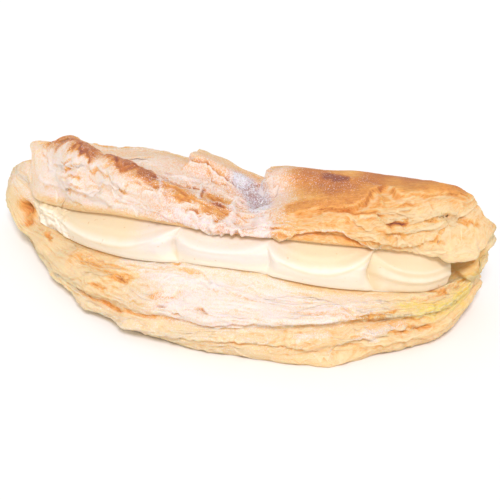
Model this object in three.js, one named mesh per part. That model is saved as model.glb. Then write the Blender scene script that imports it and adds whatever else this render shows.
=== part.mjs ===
// Cream turnover: a half-moon of puff pastry, folded along its back, split along its round front and filled with
// a rope of piped cream. Millimetres, +Z up. The mouth faces -Y, the fold lies at +Y, and the length runs along X.
// The origin is the middle of the underside.
import * as THREE from "three";
import { ParametricGeometry } from "three/addons/geometries/ParametricGeometry.js";
import { mergeVertices } from "three/addons/utils/BufferGeometryUtils.js";

// Where the middle of the pastry's spine stands, so that the origin is under the middle of the whole
const SPINE_PLACE = new THREE.Vector3(9.85, 9.63, 0);

// Half-moon plan: reaches from the spine's middle, and how far the two ends lie behind it
const LEFT_REACH = 90;
const RIGHT_REACH = 80;
const FRONT_REACH = 44.8;
const BACK_REACH = 18;
const SPINE_SHARE = 0.7;
const LEFT_SWEEP = 15;
const RIGHT_SWEEP = 14;
const SWEEP_SPAN = 80;

// Roundness of the plan: powers of the cosine and the sine, under 1 for a blunter outline
const END_POWER = 0.9;
const FRONT_LEFT_POWER = 1.5;
const FRONT_RIGHT_POWER = 1.06;
const BACK_POWER = 1.15;

// Heights at five even stations from the left end to the right end
const TOP_HEIGHT = [37, 45.2, 41, 46.6, 46.4];
const UPPER_LIP_HEIGHT = [19, 32.8, 36.8, 34.8, 26.5];
const LOWER_LIP_HEIGHT = [9.6, 18.2, 24.8, 19.5, 12];
const CREASE_HEIGHT = [6, 7, 11.1, 15, 10];

// How far the two ends of the underside curl up
const LEFT_LIFT = 1.5;
const RIGHT_LIFT = 2;

// The mouth runs round the front from the left cheek to the right end, in radians from the middle of the front
const MOUTH_LEFT = [-1.36, -1.16];
const MOUTH_RIGHT = [1.22, 1.46];

// Landmarks of a section run from the top of the spine (0) over the upper lip (4) into the mouth (7), out over the
// lower lip (10) to the crease (13) and back under to the spine (17). Each reach is a share of the way from the spine
// to the plan, each rise a share of the height over the underside.
const OPEN_REACH = [
  0, 0.37, 0.53, 0.63, 0.62, 0.555, 0.28, 0.1, 0.28, 0.58, 0.66, 0.86, 0.985, 0.94, 1, 0.93, 0.78, 0,
];
const LEFT_CORNER_REACH = [
  0, 0.4, 0.64, 0.92, 0.98, 0.9, 0.4, 0.15, 0.4, 0.84, 0.94, 1.08, 1.2, 1.2, 1.15, 1, 0.8, 0,
];
const RIGHT_CORNER_REACH = [
  0, 0.37, 0.56, 0.8, 0.94, 0.95, 0.5, 0.15, 0.4, 0.6, 0.66, 0.86, 0.985, 0.94, 1, 0.93, 0.78, 0,
];
const SHUT_REACH = [
  0, 0.45, 0.66, 0.84, 0.93, 0.965, 0.99, 1, 1, 0.995, 0.99, 0.985, 0.975, 0.94, 0.95, 0.87, 0.75, 0,
];
const SHUT_RISE = [1, 0.93, 0.86, 0.76, 0.64, 0.6, 0.565, 0.53, 0.495, 0.46, 0.43, 0.34, 0.26, 0.2, 0.12];
// The left cheek bulges past the plan, under a notch and the overhanging end of the crust
const CHEEK_REACH = [
  0, 0.4, 0.62, 0.8, 0.77, 0.92, 1.03, 1.1, 1.15, 1.19, 1.22, 1.25, 1.27, 1.24, 1.16, 1, 0.8, 0,
];
const CHEEK_RISE = [1, 0.99, 0.97, 0.92, 0.79, 0.71, 0.66, 0.61, 0.56, 0.51, 0.46, 0.38, 0.29, 0.21, 0.12];
const LOWER_LIP = 10;

// At the right end the crust's shoulder and the side under it are drawn in, and the lower half stops short of the
// upper
const SHOULDER_IN = [0, 0.16, 0.14, 0.18, 0.08, 0.1, 0.12, 0.13, 0.14, 0.15];
const RIGHT_SHORT = 0.22;

// Relief of the upper half: heights and depths from the smooth form
const CREST_HEIGHT = 3;
const VALLEY_DEPTH = 2.4;
const DOME_HEIGHT = 1.8;
const BACK_FLAKE_HEIGHT = 3.2;
const RIGHT_FLAKE_HEIGHT = 2.8;
const PALE_SIDE_DEPTH = 1.6;
const LEDGE_HEIGHT = 3.4;
const ARCH_DEPTH = 1.2;

// Relief of the lower half, and of the waves all round
const GROOVE_DEPTH = 1.3;
const BOTTOM_SHEET_HEIGHT = 1.2;
const LAYER_WAVE = 0.6;
const LENGTH_WAVE = 0.45;

// Facets round the plan and, between the landmarks of a section, along it
const PASTRY_COLUMNS = 120;
const PASTRY_ROWS = [4, 3, 3, 2, 2, 1, 1, 1, 1, 2, 3, 3, 2, 2, 2, 1, 1];
const COLUMN_EVENNESS = 0.35;
const CREAM_COLUMNS = 88;
const CREAM_ROWS = [1, 1, 1, 1, 3, 3, 3, 3, 1, 1, 1];

// Cream: its gap to the pastry, where the rope starts and is cut off along X, the reach of its front, and how far its
// top lies behind its foot at least, as a share of the reach
const CREAM_GAP = 0.9;
const CREAM_SPAN = [-76, 65];
const CREAM_END_ROUND = 6;
const CREAM_FRONT = 0.66;
const CREAM_LEAN = 0.06;
// Piped lobes along the rope: where each ends along X, and how far its ridge hangs down, as a share of the height
const LOBES = [
  { from: -76, to: -15.5, dip: 0.56 },
  { from: -15.5, to: 13, dip: 0.34 },
  { from: 13, to: 45, dip: 0.56 },
  { from: 45, to: 90, dip: 0.42 },
];
const LOBE_BULGE = 3.8;
const SCOOP_DEPTH = 2;
const CREASE_DEPTH = 2.4;

const clamp01 = (q) => Math.min(Math.max(q, 0), 1);
const smooth = (from, to, q) => {
  const s = clamp01((q - from) / (to - from));
  return s * s * (3 - 2 * s);
};
const hill = (q, width) => Math.exp(-((q / width) ** 2));
const mix = (a, b, share) => a + (b - a) * share;

// Weights of four neighbours for a smooth curve through the middle two
function curveWeights(u) {
  return [
    -0.5 * u + u * u - 0.5 * u ** 3,
    1 - 2.5 * u * u + 1.5 * u ** 3,
    0.5 * u + 2 * u * u - 1.5 * u ** 3,
    -0.5 * u * u + 0.5 * u ** 3,
  ];
}

// A smooth curve through values at even stations, at place q counted in stations
function through(values, q) {
  const last = values.length - 1;
  const k = Math.min(Math.floor(q), last - 1);
  const at = (i) => values[Math.min(Math.max(i, 0), last)];
  return curveWeights(q - k).reduce((sum, w, i) => sum + w * at(k - 1 + i), 0);
}

const total = (counts) => counts.reduce((sum, n) => sum + n, 0);

// Place along a section, counted in landmarks, of a row of facets: counts says how many rows each landmark has
function placeOfRow(v, counts) {
  let row = Math.round(v * total(counts));
  let mark = 0;
  while (mark < counts.length - 1 && row >= counts[mark]) {
    row -= counts[mark];
    mark += 1;
  }
  return mark + row / counts[mark];
}

// Share of the length, from -1 at the left end to 1 at the right
const shareOf = (x) => (x < 0 ? x / LEFT_REACH : x / RIGHT_REACH);
const along = (heights, share) => through(heights, ((share + 1) / 2) * (heights.length - 1));

// The outline of the belly in plan, before the ends are swept back. Angle 0 is the right end, -PI/2 the front
function planOutline(angle) {
  const c = Math.cos(angle);
  const s = Math.sin(angle);
  const x = (c < 0 ? -LEFT_REACH : RIGHT_REACH) * Math.abs(c) ** END_POWER;
  const power = mix(FRONT_LEFT_POWER, FRONT_RIGHT_POWER, smooth(-0.3, 0.3, c));
  const y = s < 0 ? -FRONT_REACH * Math.abs(s) ** power : BACK_REACH * s ** BACK_POWER;
  return { x, y };
}

const sweepBack = (x) => (x < 0 ? LEFT_SWEEP : RIGHT_SWEEP) * (x / SWEEP_SPAN) ** 2;

// How far the mouth is open at a plan angle, from 0 to 1
function mouthAt(angle) {
  const turn = 2 * Math.PI;
  const fromFront = ((((angle + 1.5 * Math.PI) % turn) + turn) % turn) - Math.PI;
  return smooth(...MOUTH_LEFT, fromFront) * (1 - smooth(...MOUTH_RIGHT, fromFront));
}

// The section at a plan angle, as the reach and height of each landmark: an open mouth in front, blended into a shut
// side round the rest
function sectionAt(angle) {
  const { x } = planOutline(angle);
  const share = shareOf(x);
  const left = smooth(-0.84, -1, share);
  const right = smooth(0.75, 1, share);
  const top = along(TOP_HEIGHT, share);
  const upper = along(UPPER_LIP_HEIGHT, share);
  const lower = along(LOWER_LIP_HEIGHT, share);
  const crease = along(CREASE_HEIGHT, share);
  const lift = LEFT_LIFT * smooth(-0.5, -1, share) + RIGHT_LIFT * smooth(0.8, 1, share);
  const middle = (upper + lower) / 2;
  const crust = top - upper;
  const belly = lower - crease;
  const openHeight = [
    top - 1, top, upper + 0.8 * crust, upper + 0.36 * crust, upper, upper - 1.4, middle + 4.5, middle,
    middle - 4.5, lower + 0.3, lower, lower - 0.28 * belly, lower - 0.68 * belly, crease,
    lift + 0.58 * (crease - lift), lift + 1.2, 0.6 * lift, 0,
  ];
  const shutHeight = (k) => {
    if (k === 0 || k >= SHUT_RISE.length) return openHeight[k];
    return mix(lift, top, mix(SHUT_RISE[k], CHEEK_RISE[k], left));
  };
  const open = mouthAt(angle);
  const short = 1 - RIGHT_SHORT * smooth(0.8, 1, share);
  return openHeight.map((height, k) => {
    const openReach = mix(mix(OPEN_REACH[k], LEFT_CORNER_REACH[k], left), RIGHT_CORNER_REACH[k], right);
    const shutReach = mix(SHUT_REACH[k], CHEEK_REACH[k], left);
    const drawnIn = 1 - (SHOULDER_IN[k] ?? 0) * right;
    return {
      reach: mix(shutReach, openReach, open) * drawnIn * (k < LOWER_LIP ? 1 : short),
      height: mix(shutHeight(k), height, open),
    };
  });
}

// A point of the pastry before relief: plan angle, and place along the section counted in landmarks
function pastryPoint(angle, place, target) {
  const outline = planOutline(angle);
  const section = sectionAt(angle);
  const reach = through(section.map((mark) => mark.reach), place);
  const height = through(section.map((mark) => mark.height), place);
  const spineX = SPINE_SHARE * outline.x;
  const x = spineX + reach * (outline.x - spineX);
  return target.set(x, reach * outline.y + sweepBack(x), Math.max(height, 0));
}

// Relief of the upper half by plan place: the browned crest, the valley and the dome to its right, and two flakes
// of crust that have lifted along their left edges
function upperRelief(x, y) {
  const crestLine = -25.5 + 0.0085 * (x + 3) ** 2;
  const crestSpan = smooth(-82, -68, x) * smooth(4, -8, x);
  const crestWidth = (y < crestLine ? 3.5 : 6) * (1 + smooth(-48, -66, x));
  const crest = CREST_HEIGHT * hill(y - crestLine, crestWidth) * crestSpan;
  const valley = -VALLEY_DEPTH * hill(x - 4, 7) * smooth(2, -10, y);
  const dome = DOME_HEIGHT * hill(x - 30, 15) * hill(y + 10, 10);
  const backFlake = smooth(-22, -19.5, x) * smooth(5, -16, x) * smooth(-6, 0, y) * smooth(13, 8, y);
  const rightFlake = smooth(3.5, 6, x) * smooth(28, 8, x) * smooth(-8, -3, y) * smooth(12, 7, y);
  return crest + valley + dome + BACK_FLAKE_HEIGHT * backFlake + RIGHT_FLAKE_HEIGHT * rightFlake;
}

// Relief of the sides by place along the section: ledges of the pale layers at the right, the arched lip, and the
// sheets under the belly
function sideRelief(x, place, open) {
  const brownEdge = x < 36 ? 1.7 : mix(1.7, 0.6, smooth(36, 44, x));
  const paleSide = -PALE_SIDE_DEPTH * smooth(brownEdge, brownEdge + 0.25, place) * smooth(14, 24, x);
  const ledge = LEDGE_HEIGHT * smooth(2.2, 2.5, place) * smooth(38, 50, x);
  const archLine = 3.85 - 0.95 * hill(x - 33, 9);
  const underArch = smooth(archLine, archLine + 0.3, place) * smooth(18, 24, x) * smooth(54, 48, x);
  const upperSide = (paleSide + ledge - ARCH_DEPTH * underArch) * smooth(4.3, 3.9, place) * open;
  const groove = -GROOVE_DEPTH * hill(place - (14.4 - 0.018 * (x - 30)), 0.16) * smooth(24, 32, x);
  const bottomSheet = smooth(14.55, 14.75, place) * smooth(15.6, 15.2, place) * smooth(-30, -20, x);
  return upperSide + groove + BOTTOM_SHEET_HEIGHT * bottomSheet;
}

// Slow waves that keep the sides from being even, flat on the round of the left cheek
function unevenness(x, y, place) {
  const layers = LAYER_WAVE * Math.sin(0.05 * x + 2.1 * place);
  const swells = LENGTH_WAVE * Math.sin(0.24 * x - 0.2 * y + 0.5 * place);
  return (layers + swells) * smooth(-94, -78, x);
}

const scratch = { back: new THREE.Vector3(), ahead: new THREE.Vector3(), over: new THREE.Vector3() };
const UP = new THREE.Vector3(0, 0, 1);

// Outward direction of the smooth form, by differences along the section and round the plan
function outward(angle, place, target) {
  const step = 0.02;
  const lastPlace = 17;
  const { back, ahead, over } = scratch;
  pastryPoint(angle, Math.max(place - step, 0), back);
  pastryPoint(angle, Math.min(place + step, lastPlace), ahead).sub(back);
  pastryPoint(angle - step, place, back);
  pastryPoint(angle + step, place, over).sub(back);
  return target.crossVectors(ahead, over).normalize();
}

// Pastry surface: u runs round the plan, v along the section by rows of facets
function pastrySurface(u, v, target) {
  const turn = (0.5 - u) * 2 * Math.PI;
  const angle = turn + 0.5 * COLUMN_EVENNESS * Math.sin(2 * turn);
  const place = placeOfRow(v, PASTRY_ROWS);
  pastryPoint(angle, place, target);
  const open = mouthAt(angle);
  const inMouth = smooth(3.4, 3.95, place) * smooth(10.5, 10.05, place) * open;
  const underneath = smooth(15, 16, place);
  const onTop = smooth(3.4, 2.2, place);
  const { x, y } = target;
  let relief = onTop * upperRelief(x, y);
  relief += smooth(0.1, 0.8, place) * (sideRelief(x, place, open) + unevenness(x, y, place));
  relief *= (1 - inMouth) * (1 - underneath);
  const direction = outward(angle, place, new THREE.Vector3()).lerp(UP, smooth(0.8, 0, place)).normalize();
  target.addScaledVector(direction, relief);
  target.z = Math.max(target.z, 0);
}

// A closed mesh from a parametric surface whose edges meet
function closedMesh(name, surface, columns, rows, material) {
  const geometry = new ParametricGeometry(surface, columns, rows);
  geometry.deleteAttribute("normal");
  geometry.deleteAttribute("uv");
  const merged = mergeVertices(geometry, 1e-3);
  merged.computeVertexNormals();
  const mesh = new THREE.Mesh(merged, material);
  mesh.name = name;
  return mesh;
}

function makePastry() {
  const crust = new THREE.MeshStandardMaterial({ color: 0xe9b877, roughness: 0.75, metalness: 0 });
  return closedMesh("pastry", pastrySurface, PASTRY_COLUMNS, total(PASTRY_ROWS), crust);
}

// Plan angle of the front outline at a place along X
function frontAngle(x) {
  const reach = x < 0 ? LEFT_REACH : RIGHT_REACH;
  const c = Math.sign(x) * Math.min(Math.abs(x) / reach, 1) ** (1 / END_POWER);
  return -Math.acos(c);
}

// How far the piped lobes stand out at x and at share h of the mouth's height. In each lobe a ridge hangs between
// the lobe's two ends like a smile. Under the ridge the cream is full, above it the cream is scooped back. A lobe
// swells slowly from its left end and stops short at its right end, in front of the next.
function lobeRelief(x, h) {
  const { from, to, dip } = LOBES.find((lobe) => x < lobe.to);
  const q = clamp01((x - from) / (to - from));
  const swell = smooth(-0.15, 0.3, q) * smooth(1.01, 0.93, q);
  const ridge = 1 - dip * Math.sin(Math.PI * q ** 1.2) ** 0.8;
  const below = LOBE_BULGE * (Math.min(h / ridge, 1) ** 0.55);
  const above = clamp01((h - ridge) / (1.05 - ridge));
  const scoop = below * (1 - (1 - above) ** 1.7) + SCOOP_DEPTH * above;
  return (below - scoop) * swell - CREASE_DEPTH * (1 - swell) * Math.sin(Math.PI * h);
}

// Cream surface: u runs along the mouth, v round the section of the rope, from the back of the mouth over its
// floor to the lower lip, up the lobed front and back under the upper half
function creamSurface(u, v, target) {
  const lastStep = 1 - 1 / CREAM_COLUMNS;
  const x = mix(CREAM_SPAN[0], CREAM_SPAN[1], Math.min(u / lastStep, 1));
  const angle = frontAngle(x / mix(SPINE_SHARE, 1, CREAM_FRONT));
  const section = sectionAt(angle);
  const [, , , , , roof, roofBack, back, floorBack, floor, lip] = section;
  const core = (back.reach + lip.reach) / 2 + 0.07;
  const top = Math.min(roof.reach, lip.reach - CREAM_LEAN);
  const lowest = lip.height + 1.5 * CREAM_GAP;
  const highest = roof.height - CREAM_GAP;
  const middle = (lowest + highest) / 2;
  const loop = [
    [back.reach + 0.06, middle],
    [floorBack.reach + 0.03, floorBack.height + CREAM_GAP],
    [mix(floorBack.reach, floor.reach, 0.5), mix(floorBack.height, floor.height, 0.5) + CREAM_GAP],
    [floor.reach, floor.height + CREAM_GAP],
    [lip.reach, lowest],
    [lip.reach, mix(lowest, highest, 0.25)],
    [lip.reach, middle],
    [lip.reach - 0.01, mix(lowest, highest, 0.75)],
    [top, highest],
    [mix(roofBack.reach, top, 0.5), mix(roofBack.height, roof.height, 0.5) - CREAM_GAP],
    [roofBack.reach + 0.03, roofBack.height - CREAM_GAP],
    [back.reach + 0.06, middle],
  ];
  const frontFrom = 4;
  const frontTo = 8;
  const place = placeOfRow(v, CREAM_ROWS);
  const h = (place - frontFrom) / (frontTo - frontFrom);
  const relief = h > 0 && h < 1 ? lobeRelief(x, h) : 0;
  const leftEnd = clamp01((x - CREAM_SPAN[0]) / CREAM_END_ROUND);
  const full = u > lastStep + 1e-6 ? 0 : Math.sqrt(1 - (1 - leftEnd) ** 2);
  const reach = mix(core, through(loop.map((mark) => mark[0]), place) + relief / FRONT_REACH, full);
  const height = mix(middle, through(loop.map((mark) => mark[1]), place), full);
  const outline = planOutline(angle);
  const spineX = SPINE_SHARE * outline.x;
  const px = spineX + reach * (outline.x - spineX);
  target.set(px, reach * outline.y + sweepBack(px), height);
}

function makeCream() {
  const piped = new THREE.MeshStandardMaterial({ color: 0xfdeccb, roughness: 0.5, metalness: 0 });
  return closedMesh("cream", creamSurface, CREAM_COLUMNS, total(CREAM_ROWS), piped);
}

const turnover = new THREE.Group();
turnover.name = "turnover";
for (const mesh of [makePastry(), makeCream()]) {
  mesh.position.copy(SPINE_PLACE);
  turnover.add(mesh);
}

export default turnover;
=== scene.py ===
"""Dresses the cream turnover: two halves of flaky pastry, a piped rope of cream, lifted flakes and a studio.

Sizes are millimetres in the pastry's own frame, whose zero lies under the middle of its spine. Meshes are
written in metres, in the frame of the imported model.
"""

import logging
import math
from dataclasses import dataclass, field
from enum import Enum
from typing import Any, Callable, Sequence

import bpy
import numpy as np
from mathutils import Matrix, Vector


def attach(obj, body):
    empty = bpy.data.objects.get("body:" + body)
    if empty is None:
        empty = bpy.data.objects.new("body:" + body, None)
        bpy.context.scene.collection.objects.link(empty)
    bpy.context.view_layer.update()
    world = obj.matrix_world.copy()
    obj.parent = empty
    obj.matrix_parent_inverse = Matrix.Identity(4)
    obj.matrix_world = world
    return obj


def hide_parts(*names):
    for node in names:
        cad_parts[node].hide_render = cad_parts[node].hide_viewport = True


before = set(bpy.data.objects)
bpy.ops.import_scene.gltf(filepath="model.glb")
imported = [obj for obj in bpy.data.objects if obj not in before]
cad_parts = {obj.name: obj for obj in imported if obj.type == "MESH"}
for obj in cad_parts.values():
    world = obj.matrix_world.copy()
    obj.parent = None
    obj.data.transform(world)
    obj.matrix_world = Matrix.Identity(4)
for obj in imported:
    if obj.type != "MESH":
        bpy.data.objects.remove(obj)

Array = np.ndarray
Chart = Sequence[tuple[float, float]]

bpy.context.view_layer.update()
METRES = 0.001
UP = np.array([0.0, 0.0, 1.0])
# Brings the lattice noise to about -1 to 1
NOISE_GAIN = 1.6
# Millimetres on the layers' chart for one unit of a piece's UV map
CHART_UNIT = 100.0
# Marks stand higher than listed by this factor, and fade this many millimetres off the level of their path
MARK_GAIN = 1.45
MARK_LEVEL = 4.0
log = logging.getLogger("turnover")


def smooth(low: float | Array, high: float | Array, q: Array) -> Array:
    """A soft step from 0 at low to 1 at high: 3 s^2 - 2 s^3 of the share s that q has run."""
    s = np.clip((q - low) / (high - low), 0.0, 1.0)
    return s * s * (3.0 - 2.0 * s)


def hill(q: Array, width: float | Array) -> Array:
    """A round hill, 1 at the middle: e to the minus (q / width) squared."""
    return np.exp(-((q / width) ** 2))


def mix(a: Any, b: Any, share: Any) -> Any:
    """The value a share of the way from a to b."""
    return a + (b - a) * share


def curve_weights(places: Array, count: int) -> Array:
    """Weights of a smooth curve through values at even stations, by cubic blends of the four nearest.

    Args:
        places: places along the curve, counted in stations.
        count: how many stations the curve has.

    Returns:
        One row of `count` weights for each place.
    """
    q = np.asarray(places, dtype=float).ravel()
    first = np.clip(np.floor(q).astype(int), 0, count - 2)
    u = q - first
    blends = np.stack([
        -0.5 * u + u * u - 0.5 * u**3,
        1.0 - 2.5 * u * u + 1.5 * u**3,
        0.5 * u + 2.0 * u * u - 1.5 * u**3,
        -0.5 * u * u + 0.5 * u**3,
    ], axis=1)
    stations = np.clip(first[:, None] + np.arange(-1, 3), 0, count - 1)
    weights = np.zeros((q.size, count))
    np.add.at(weights, (np.arange(q.size)[:, None], stations), blends)
    return weights


def unit(vectors: Array) -> Array:
    """The same directions with a length of 1."""
    return vectors / np.maximum(np.linalg.norm(vectors, axis=-1, keepdims=True), 1e-9)


def strips(numbers: Array, after: Array) -> Array:
    """Corners of the faces between neighbours on the second axis and the vertices after them."""
    return np.stack([numbers[:, :-1], numbers[:, 1:], after[:, 1:], after[:, :-1]], axis=-1)


class Grain:
    """Seeded smooth noise in space: random slopes on a lattice, blended with a fifth-power fade."""

    def __init__(self, seed: int) -> None:
        """Draws the lattice's order and slopes.

        Args:
            seed: the seed of the draw.
        """
        draw = np.random.default_rng(seed)
        self.order = np.tile(draw.permutation(256), 3)
        self.slopes = unit(draw.normal(size=(256, 3)))

    def at(self, points: Array, size: float | Sequence[float]) -> Array:
        """Noise from about -1 to 1.

        Args:
            points: places in millimetres, one row each.
            size: how wide a swell is, for all axes or for each.

        Returns:
            One value for each place.
        """
        q = points / np.asarray(size, dtype=float)
        cell = np.floor(q).astype(int)
        part = q - cell
        fade = part**3 * (part * (part * 6.0 - 15.0) + 10.0)
        value = np.zeros(len(q))
        for corner in np.ndindex(2, 2, 2):
            x, y, z = (cell + corner).T & 255
            slope = self.slopes[self.order[self.order[self.order[x] + y] + z]]
            share = np.where(corner, fade, 1.0 - fade).prod(axis=1)
            value += share * (slope * (part - corner)).sum(axis=1)
        return NOISE_GAIN * value

    def layered(self, points: Array, size: float, octaves: int = 3) -> Array:
        """Noise summed over octaves, each half as wide and half as strong as the last."""
        return sum(0.5**k * self.at(points + 37.0 * k, size * 0.5**k) for k in range(octaves))


@dataclass(frozen=True)
class TurnoverForm:
    """The smooth body: a half-moon plan, and sections that run from its spine out to the plan and back.

    A plan angle of 0 is the right end and minus a quarter turn the middle of the front. A place along a
    section is counted in landmarks: the top of the spine (0), the upper lip (4), the back of the mouth (7),
    the lower lip (10), the crease (13) and the middle of the underside (17). Reaches are shares of the way
    from the spine to the plan, rises are shares of the height over the underside. Corners and lifts start at
    a share of the length on either side. The ruler gives the chart's length at each landmark.
    """

    spine_place: tuple[float, float, float] = (9.85, 9.63, 0.0)
    left_reach: float = 90.0
    right_reach: float = 80.0
    front_reach: float = 44.8
    back_reach: float = 18.0
    spine_share: float = 0.7
    left_sweep: float = 15.0
    right_sweep: float = 14.0
    sweep_span: float = 80.0
    end_power: float = 0.9
    front_powers: tuple[float, float] = (1.5, 1.06)
    back_power: float = 1.15
    top_height: tuple[float, ...] = (37.0, 45.2, 41.0, 46.6, 46.4)
    upper_lip_height: tuple[float, ...] = (19.0, 32.8, 36.8, 34.8, 26.5)
    lower_lip_height: tuple[float, ...] = (9.6, 18.2, 24.8, 19.5, 12.0)
    crease_height: tuple[float, ...] = (6.0, 7.0, 11.1, 15.0, 10.0)
    left_lift: float = 1.5
    right_lift: float = 2.0
    left_lift_from: float = -0.5
    right_lift_from: float = 0.8
    left_corner_from: float = -0.84
    right_corner_from: float = 0.75
    mouth_left: tuple[float, float] = (-1.36, -1.16)
    mouth_right: tuple[float, float] = (1.22, 1.46)
    open_reach: tuple[float, ...] = (
        0, .37, .53, .63, .62, .555, .28, .1, .28, .58, .66, .86, .985, .94, 1, .93, .78, 0)
    left_corner_reach: tuple[float, ...] = (
        0, .4, .64, .92, .98, .9, .4, .15, .4, .84, .94, 1.08, 1.2, 1.2, 1.15, 1, .8, 0)
    right_corner_reach: tuple[float, ...] = (
        0, .37, .56, .8, .94, .95, .5, .15, .4, .6, .66, .86, .985, .94, 1, .93, .78, 0)
    shut_reach: tuple[float, ...] = (
        0, .45, .66, .84, .93, .965, .99, 1, 1, .995, .99, .985, .975, .94, .95, .87, .75, 0)
    cheek_reach: tuple[float, ...] = (
        0, .4, .62, .8, .77, .92, 1.03, 1.1, 1.15, 1.19, 1.22, 1.25, 1.27, 1.24, 1.16, 1, .8, 0)
    shut_rise: tuple[float, ...] = (1, .93, .86, .76, .64, .6, .565, .53, .495, .46, .43, .34, .26, .2, .12)
    cheek_rise: tuple[float, ...] = (1, .99, .97, .92, .79, .71, .66, .61, .56, .51, .46, .38, .29, .21, .12)
    shoulder_in: tuple[float, ...] = (0, .16, .14, .18, .08, .1, .12, .13, .14, .15)
    right_short: float = 0.22
    lower_lip: int = 10
    landmarks: int = 18
    ruler: tuple[float, ...] = (
        0, 17.5, 26, 32, 35, 38.5, 53, 63, 73, 87, 90.5, 100, 108, 112.5, 118.5, 125, 132.5, 168)

    def outline(self, angle: Array) -> tuple[Array, Array]:
        """The plan before its ends are swept back: powers of the cosine and the sine.

        Args:
            angle: plan angles.

        Returns:
            Places along X and along Y.
        """
        c = np.cos(angle)
        s = np.sin(angle)
        x = np.where(c < 0, -self.left_reach, self.right_reach) * np.abs(c) ** self.end_power
        power = mix(*self.front_powers, smooth(-0.3, 0.3, c))
        front = -self.front_reach * np.abs(s) ** power
        return x, np.where(s < 0, front, self.back_reach * np.abs(s) ** self.back_power)

    def sweep(self, x: Array) -> Array:
        """How far the ends lie behind the middle: a parabola along the length."""
        return np.where(x < 0, self.left_sweep, self.right_sweep) * (x / self.sweep_span) ** 2

    def mouth(self, angle: Array) -> Array:
        """How far the mouth is open at a plan angle, from 0 to 1."""
        from_front = np.mod(angle + 1.5 * math.pi, 2.0 * math.pi) - math.pi
        return smooth(*self.mouth_left, from_front) * (1.0 - smooth(*self.mouth_right, from_front))

    def section(self, angle: Array) -> tuple[Array, Array]:
        """Landmarks of the sections: an open mouth in front, blended into a shut side round the rest.

        Args:
            angle: plan angles, one for each section.

        Returns:
            Shares of the reach from the spine to the plan, and heights, one row a section and one column a
            landmark.
        """
        x, _ = self.outline(angle)
        share = np.where(x < 0, x / self.left_reach, x / self.right_reach)
        stations = curve_weights(2.0 * (share + 1.0), len(self.top_height))
        top, upper, lower, crease = (stations @ np.array(heights) for heights in (
            self.top_height, self.upper_lip_height, self.lower_lip_height, self.crease_height))
        left = smooth(self.left_corner_from, -1, share)[:, None]
        right = smooth(self.right_corner_from, 1, share)[:, None]
        right_end = smooth(self.right_lift_from, 1, share)
        lift = self.left_lift * smooth(self.left_lift_from, -1, share) + self.right_lift * right_end
        middle = (upper + lower) / 2.0
        crust = top - upper
        belly = lower - crease
        open_height = np.stack([
            top - 1, top, upper + .8 * crust, upper + .36 * crust, upper, upper - 1.4, middle + 4.5, middle,
            middle - 4.5, lower + .3, lower, lower - .28 * belly, lower - .68 * belly, crease,
            lift + .58 * (crease - lift), lift + 1.2, .6 * lift, np.zeros_like(lift)], axis=1)
        rise = mix(np.array(self.shut_rise), np.array(self.cheek_rise), left)
        shut_height = open_height.copy()
        shut_height[:, 1:rise.shape[1]] = mix(lift[:, None], top[:, None], rise)[:, 1:]
        shut_reach = mix(np.array(self.shut_reach), np.array(self.cheek_reach), left)
        open_reach = mix(np.array(self.open_reach), np.array(self.left_corner_reach), left)
        open_reach = mix(open_reach, np.array(self.right_corner_reach), right)
        drawn_in = np.ones((share.size, self.landmarks))
        drawn_in[:, :len(self.shoulder_in)] -= right * np.array(self.shoulder_in)
        drawn_in[:, self.lower_lip:] -= self.right_short * right_end[:, None]
        opened = self.mouth(angle)[:, None]
        return mix(shut_reach, open_reach, opened) * drawn_in, mix(shut_height, open_height, opened)

    def lay(self, angle: Array, reach: Array, height: Array) -> Array:
        """Places of points: straight out from the spine by a share of the way to the plan, then swept back.

        Args:
            angle: plan angles.
            reach: shares of the way from the spine to the plan.
            height: heights over the table.

        Returns:
            X, Y and Z of each point, on the last axis.
        """
        x, y = self.outline(angle)
        spine = self.spine_share * x
        px = spine + reach * (x - spine)
        return np.stack([px, reach * y + self.sweep(px), np.maximum(height, 0.0)], axis=-1)

    def spots(self, angle: Array, place: Array) -> Array:
        """Points of the smooth body, one for each pair of plan angle and place.

        Args:
            angle: plan angles.
            place: places along the sections, counted in landmarks.

        Returns:
            Places, one row each.
        """
        reach, height = self.section(angle)
        weights = curve_weights(place, self.landmarks)
        return self.lay(angle, (reach * weights).sum(axis=1), (height * weights).sum(axis=1))

    def grid(self, angle: Array, place: Array) -> Array:
        """Points of the smooth body for every plan angle and every place.

        Args:
            angle: plan angles, by rows.
            place: places along the sections, counted in landmarks, by columns.

        Returns:
            Places by row and column.
        """
        reach, height = self.section(angle)
        weights = curve_weights(place, self.landmarks)
        return self.lay(angle[:, None], reach @ weights.T, height @ weights.T)

    def outward(self, points: Callable[[Array, Array], Array], angle: Array, place: Array,
                step: float = 0.01) -> Array:
        """Outward directions: the cross product of a step along the section and one round the plan.

        Args:
            points: the method that gives the points, grid or spots.
            angle: plan angles, as that method takes them.
            place: places along the sections, likewise.
            step: the size of both steps, in landmarks and in radians.

        Returns:
            One direction for each point.
        """
        last = self.landmarks - 1.0
        down = points(angle, np.minimum(place + step, last)) - points(angle, np.maximum(place - step, 0.0))
        round_plan = points(angle + step, place) - points(angle - step, place)
        return unit(np.cross(down, round_plan))

    def chart_length(self, place: Array) -> Array:
        """Length on the chart at a place: the ruler read between its landmarks."""
        return np.interp(place, np.arange(self.landmarks), self.ruler)

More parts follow.
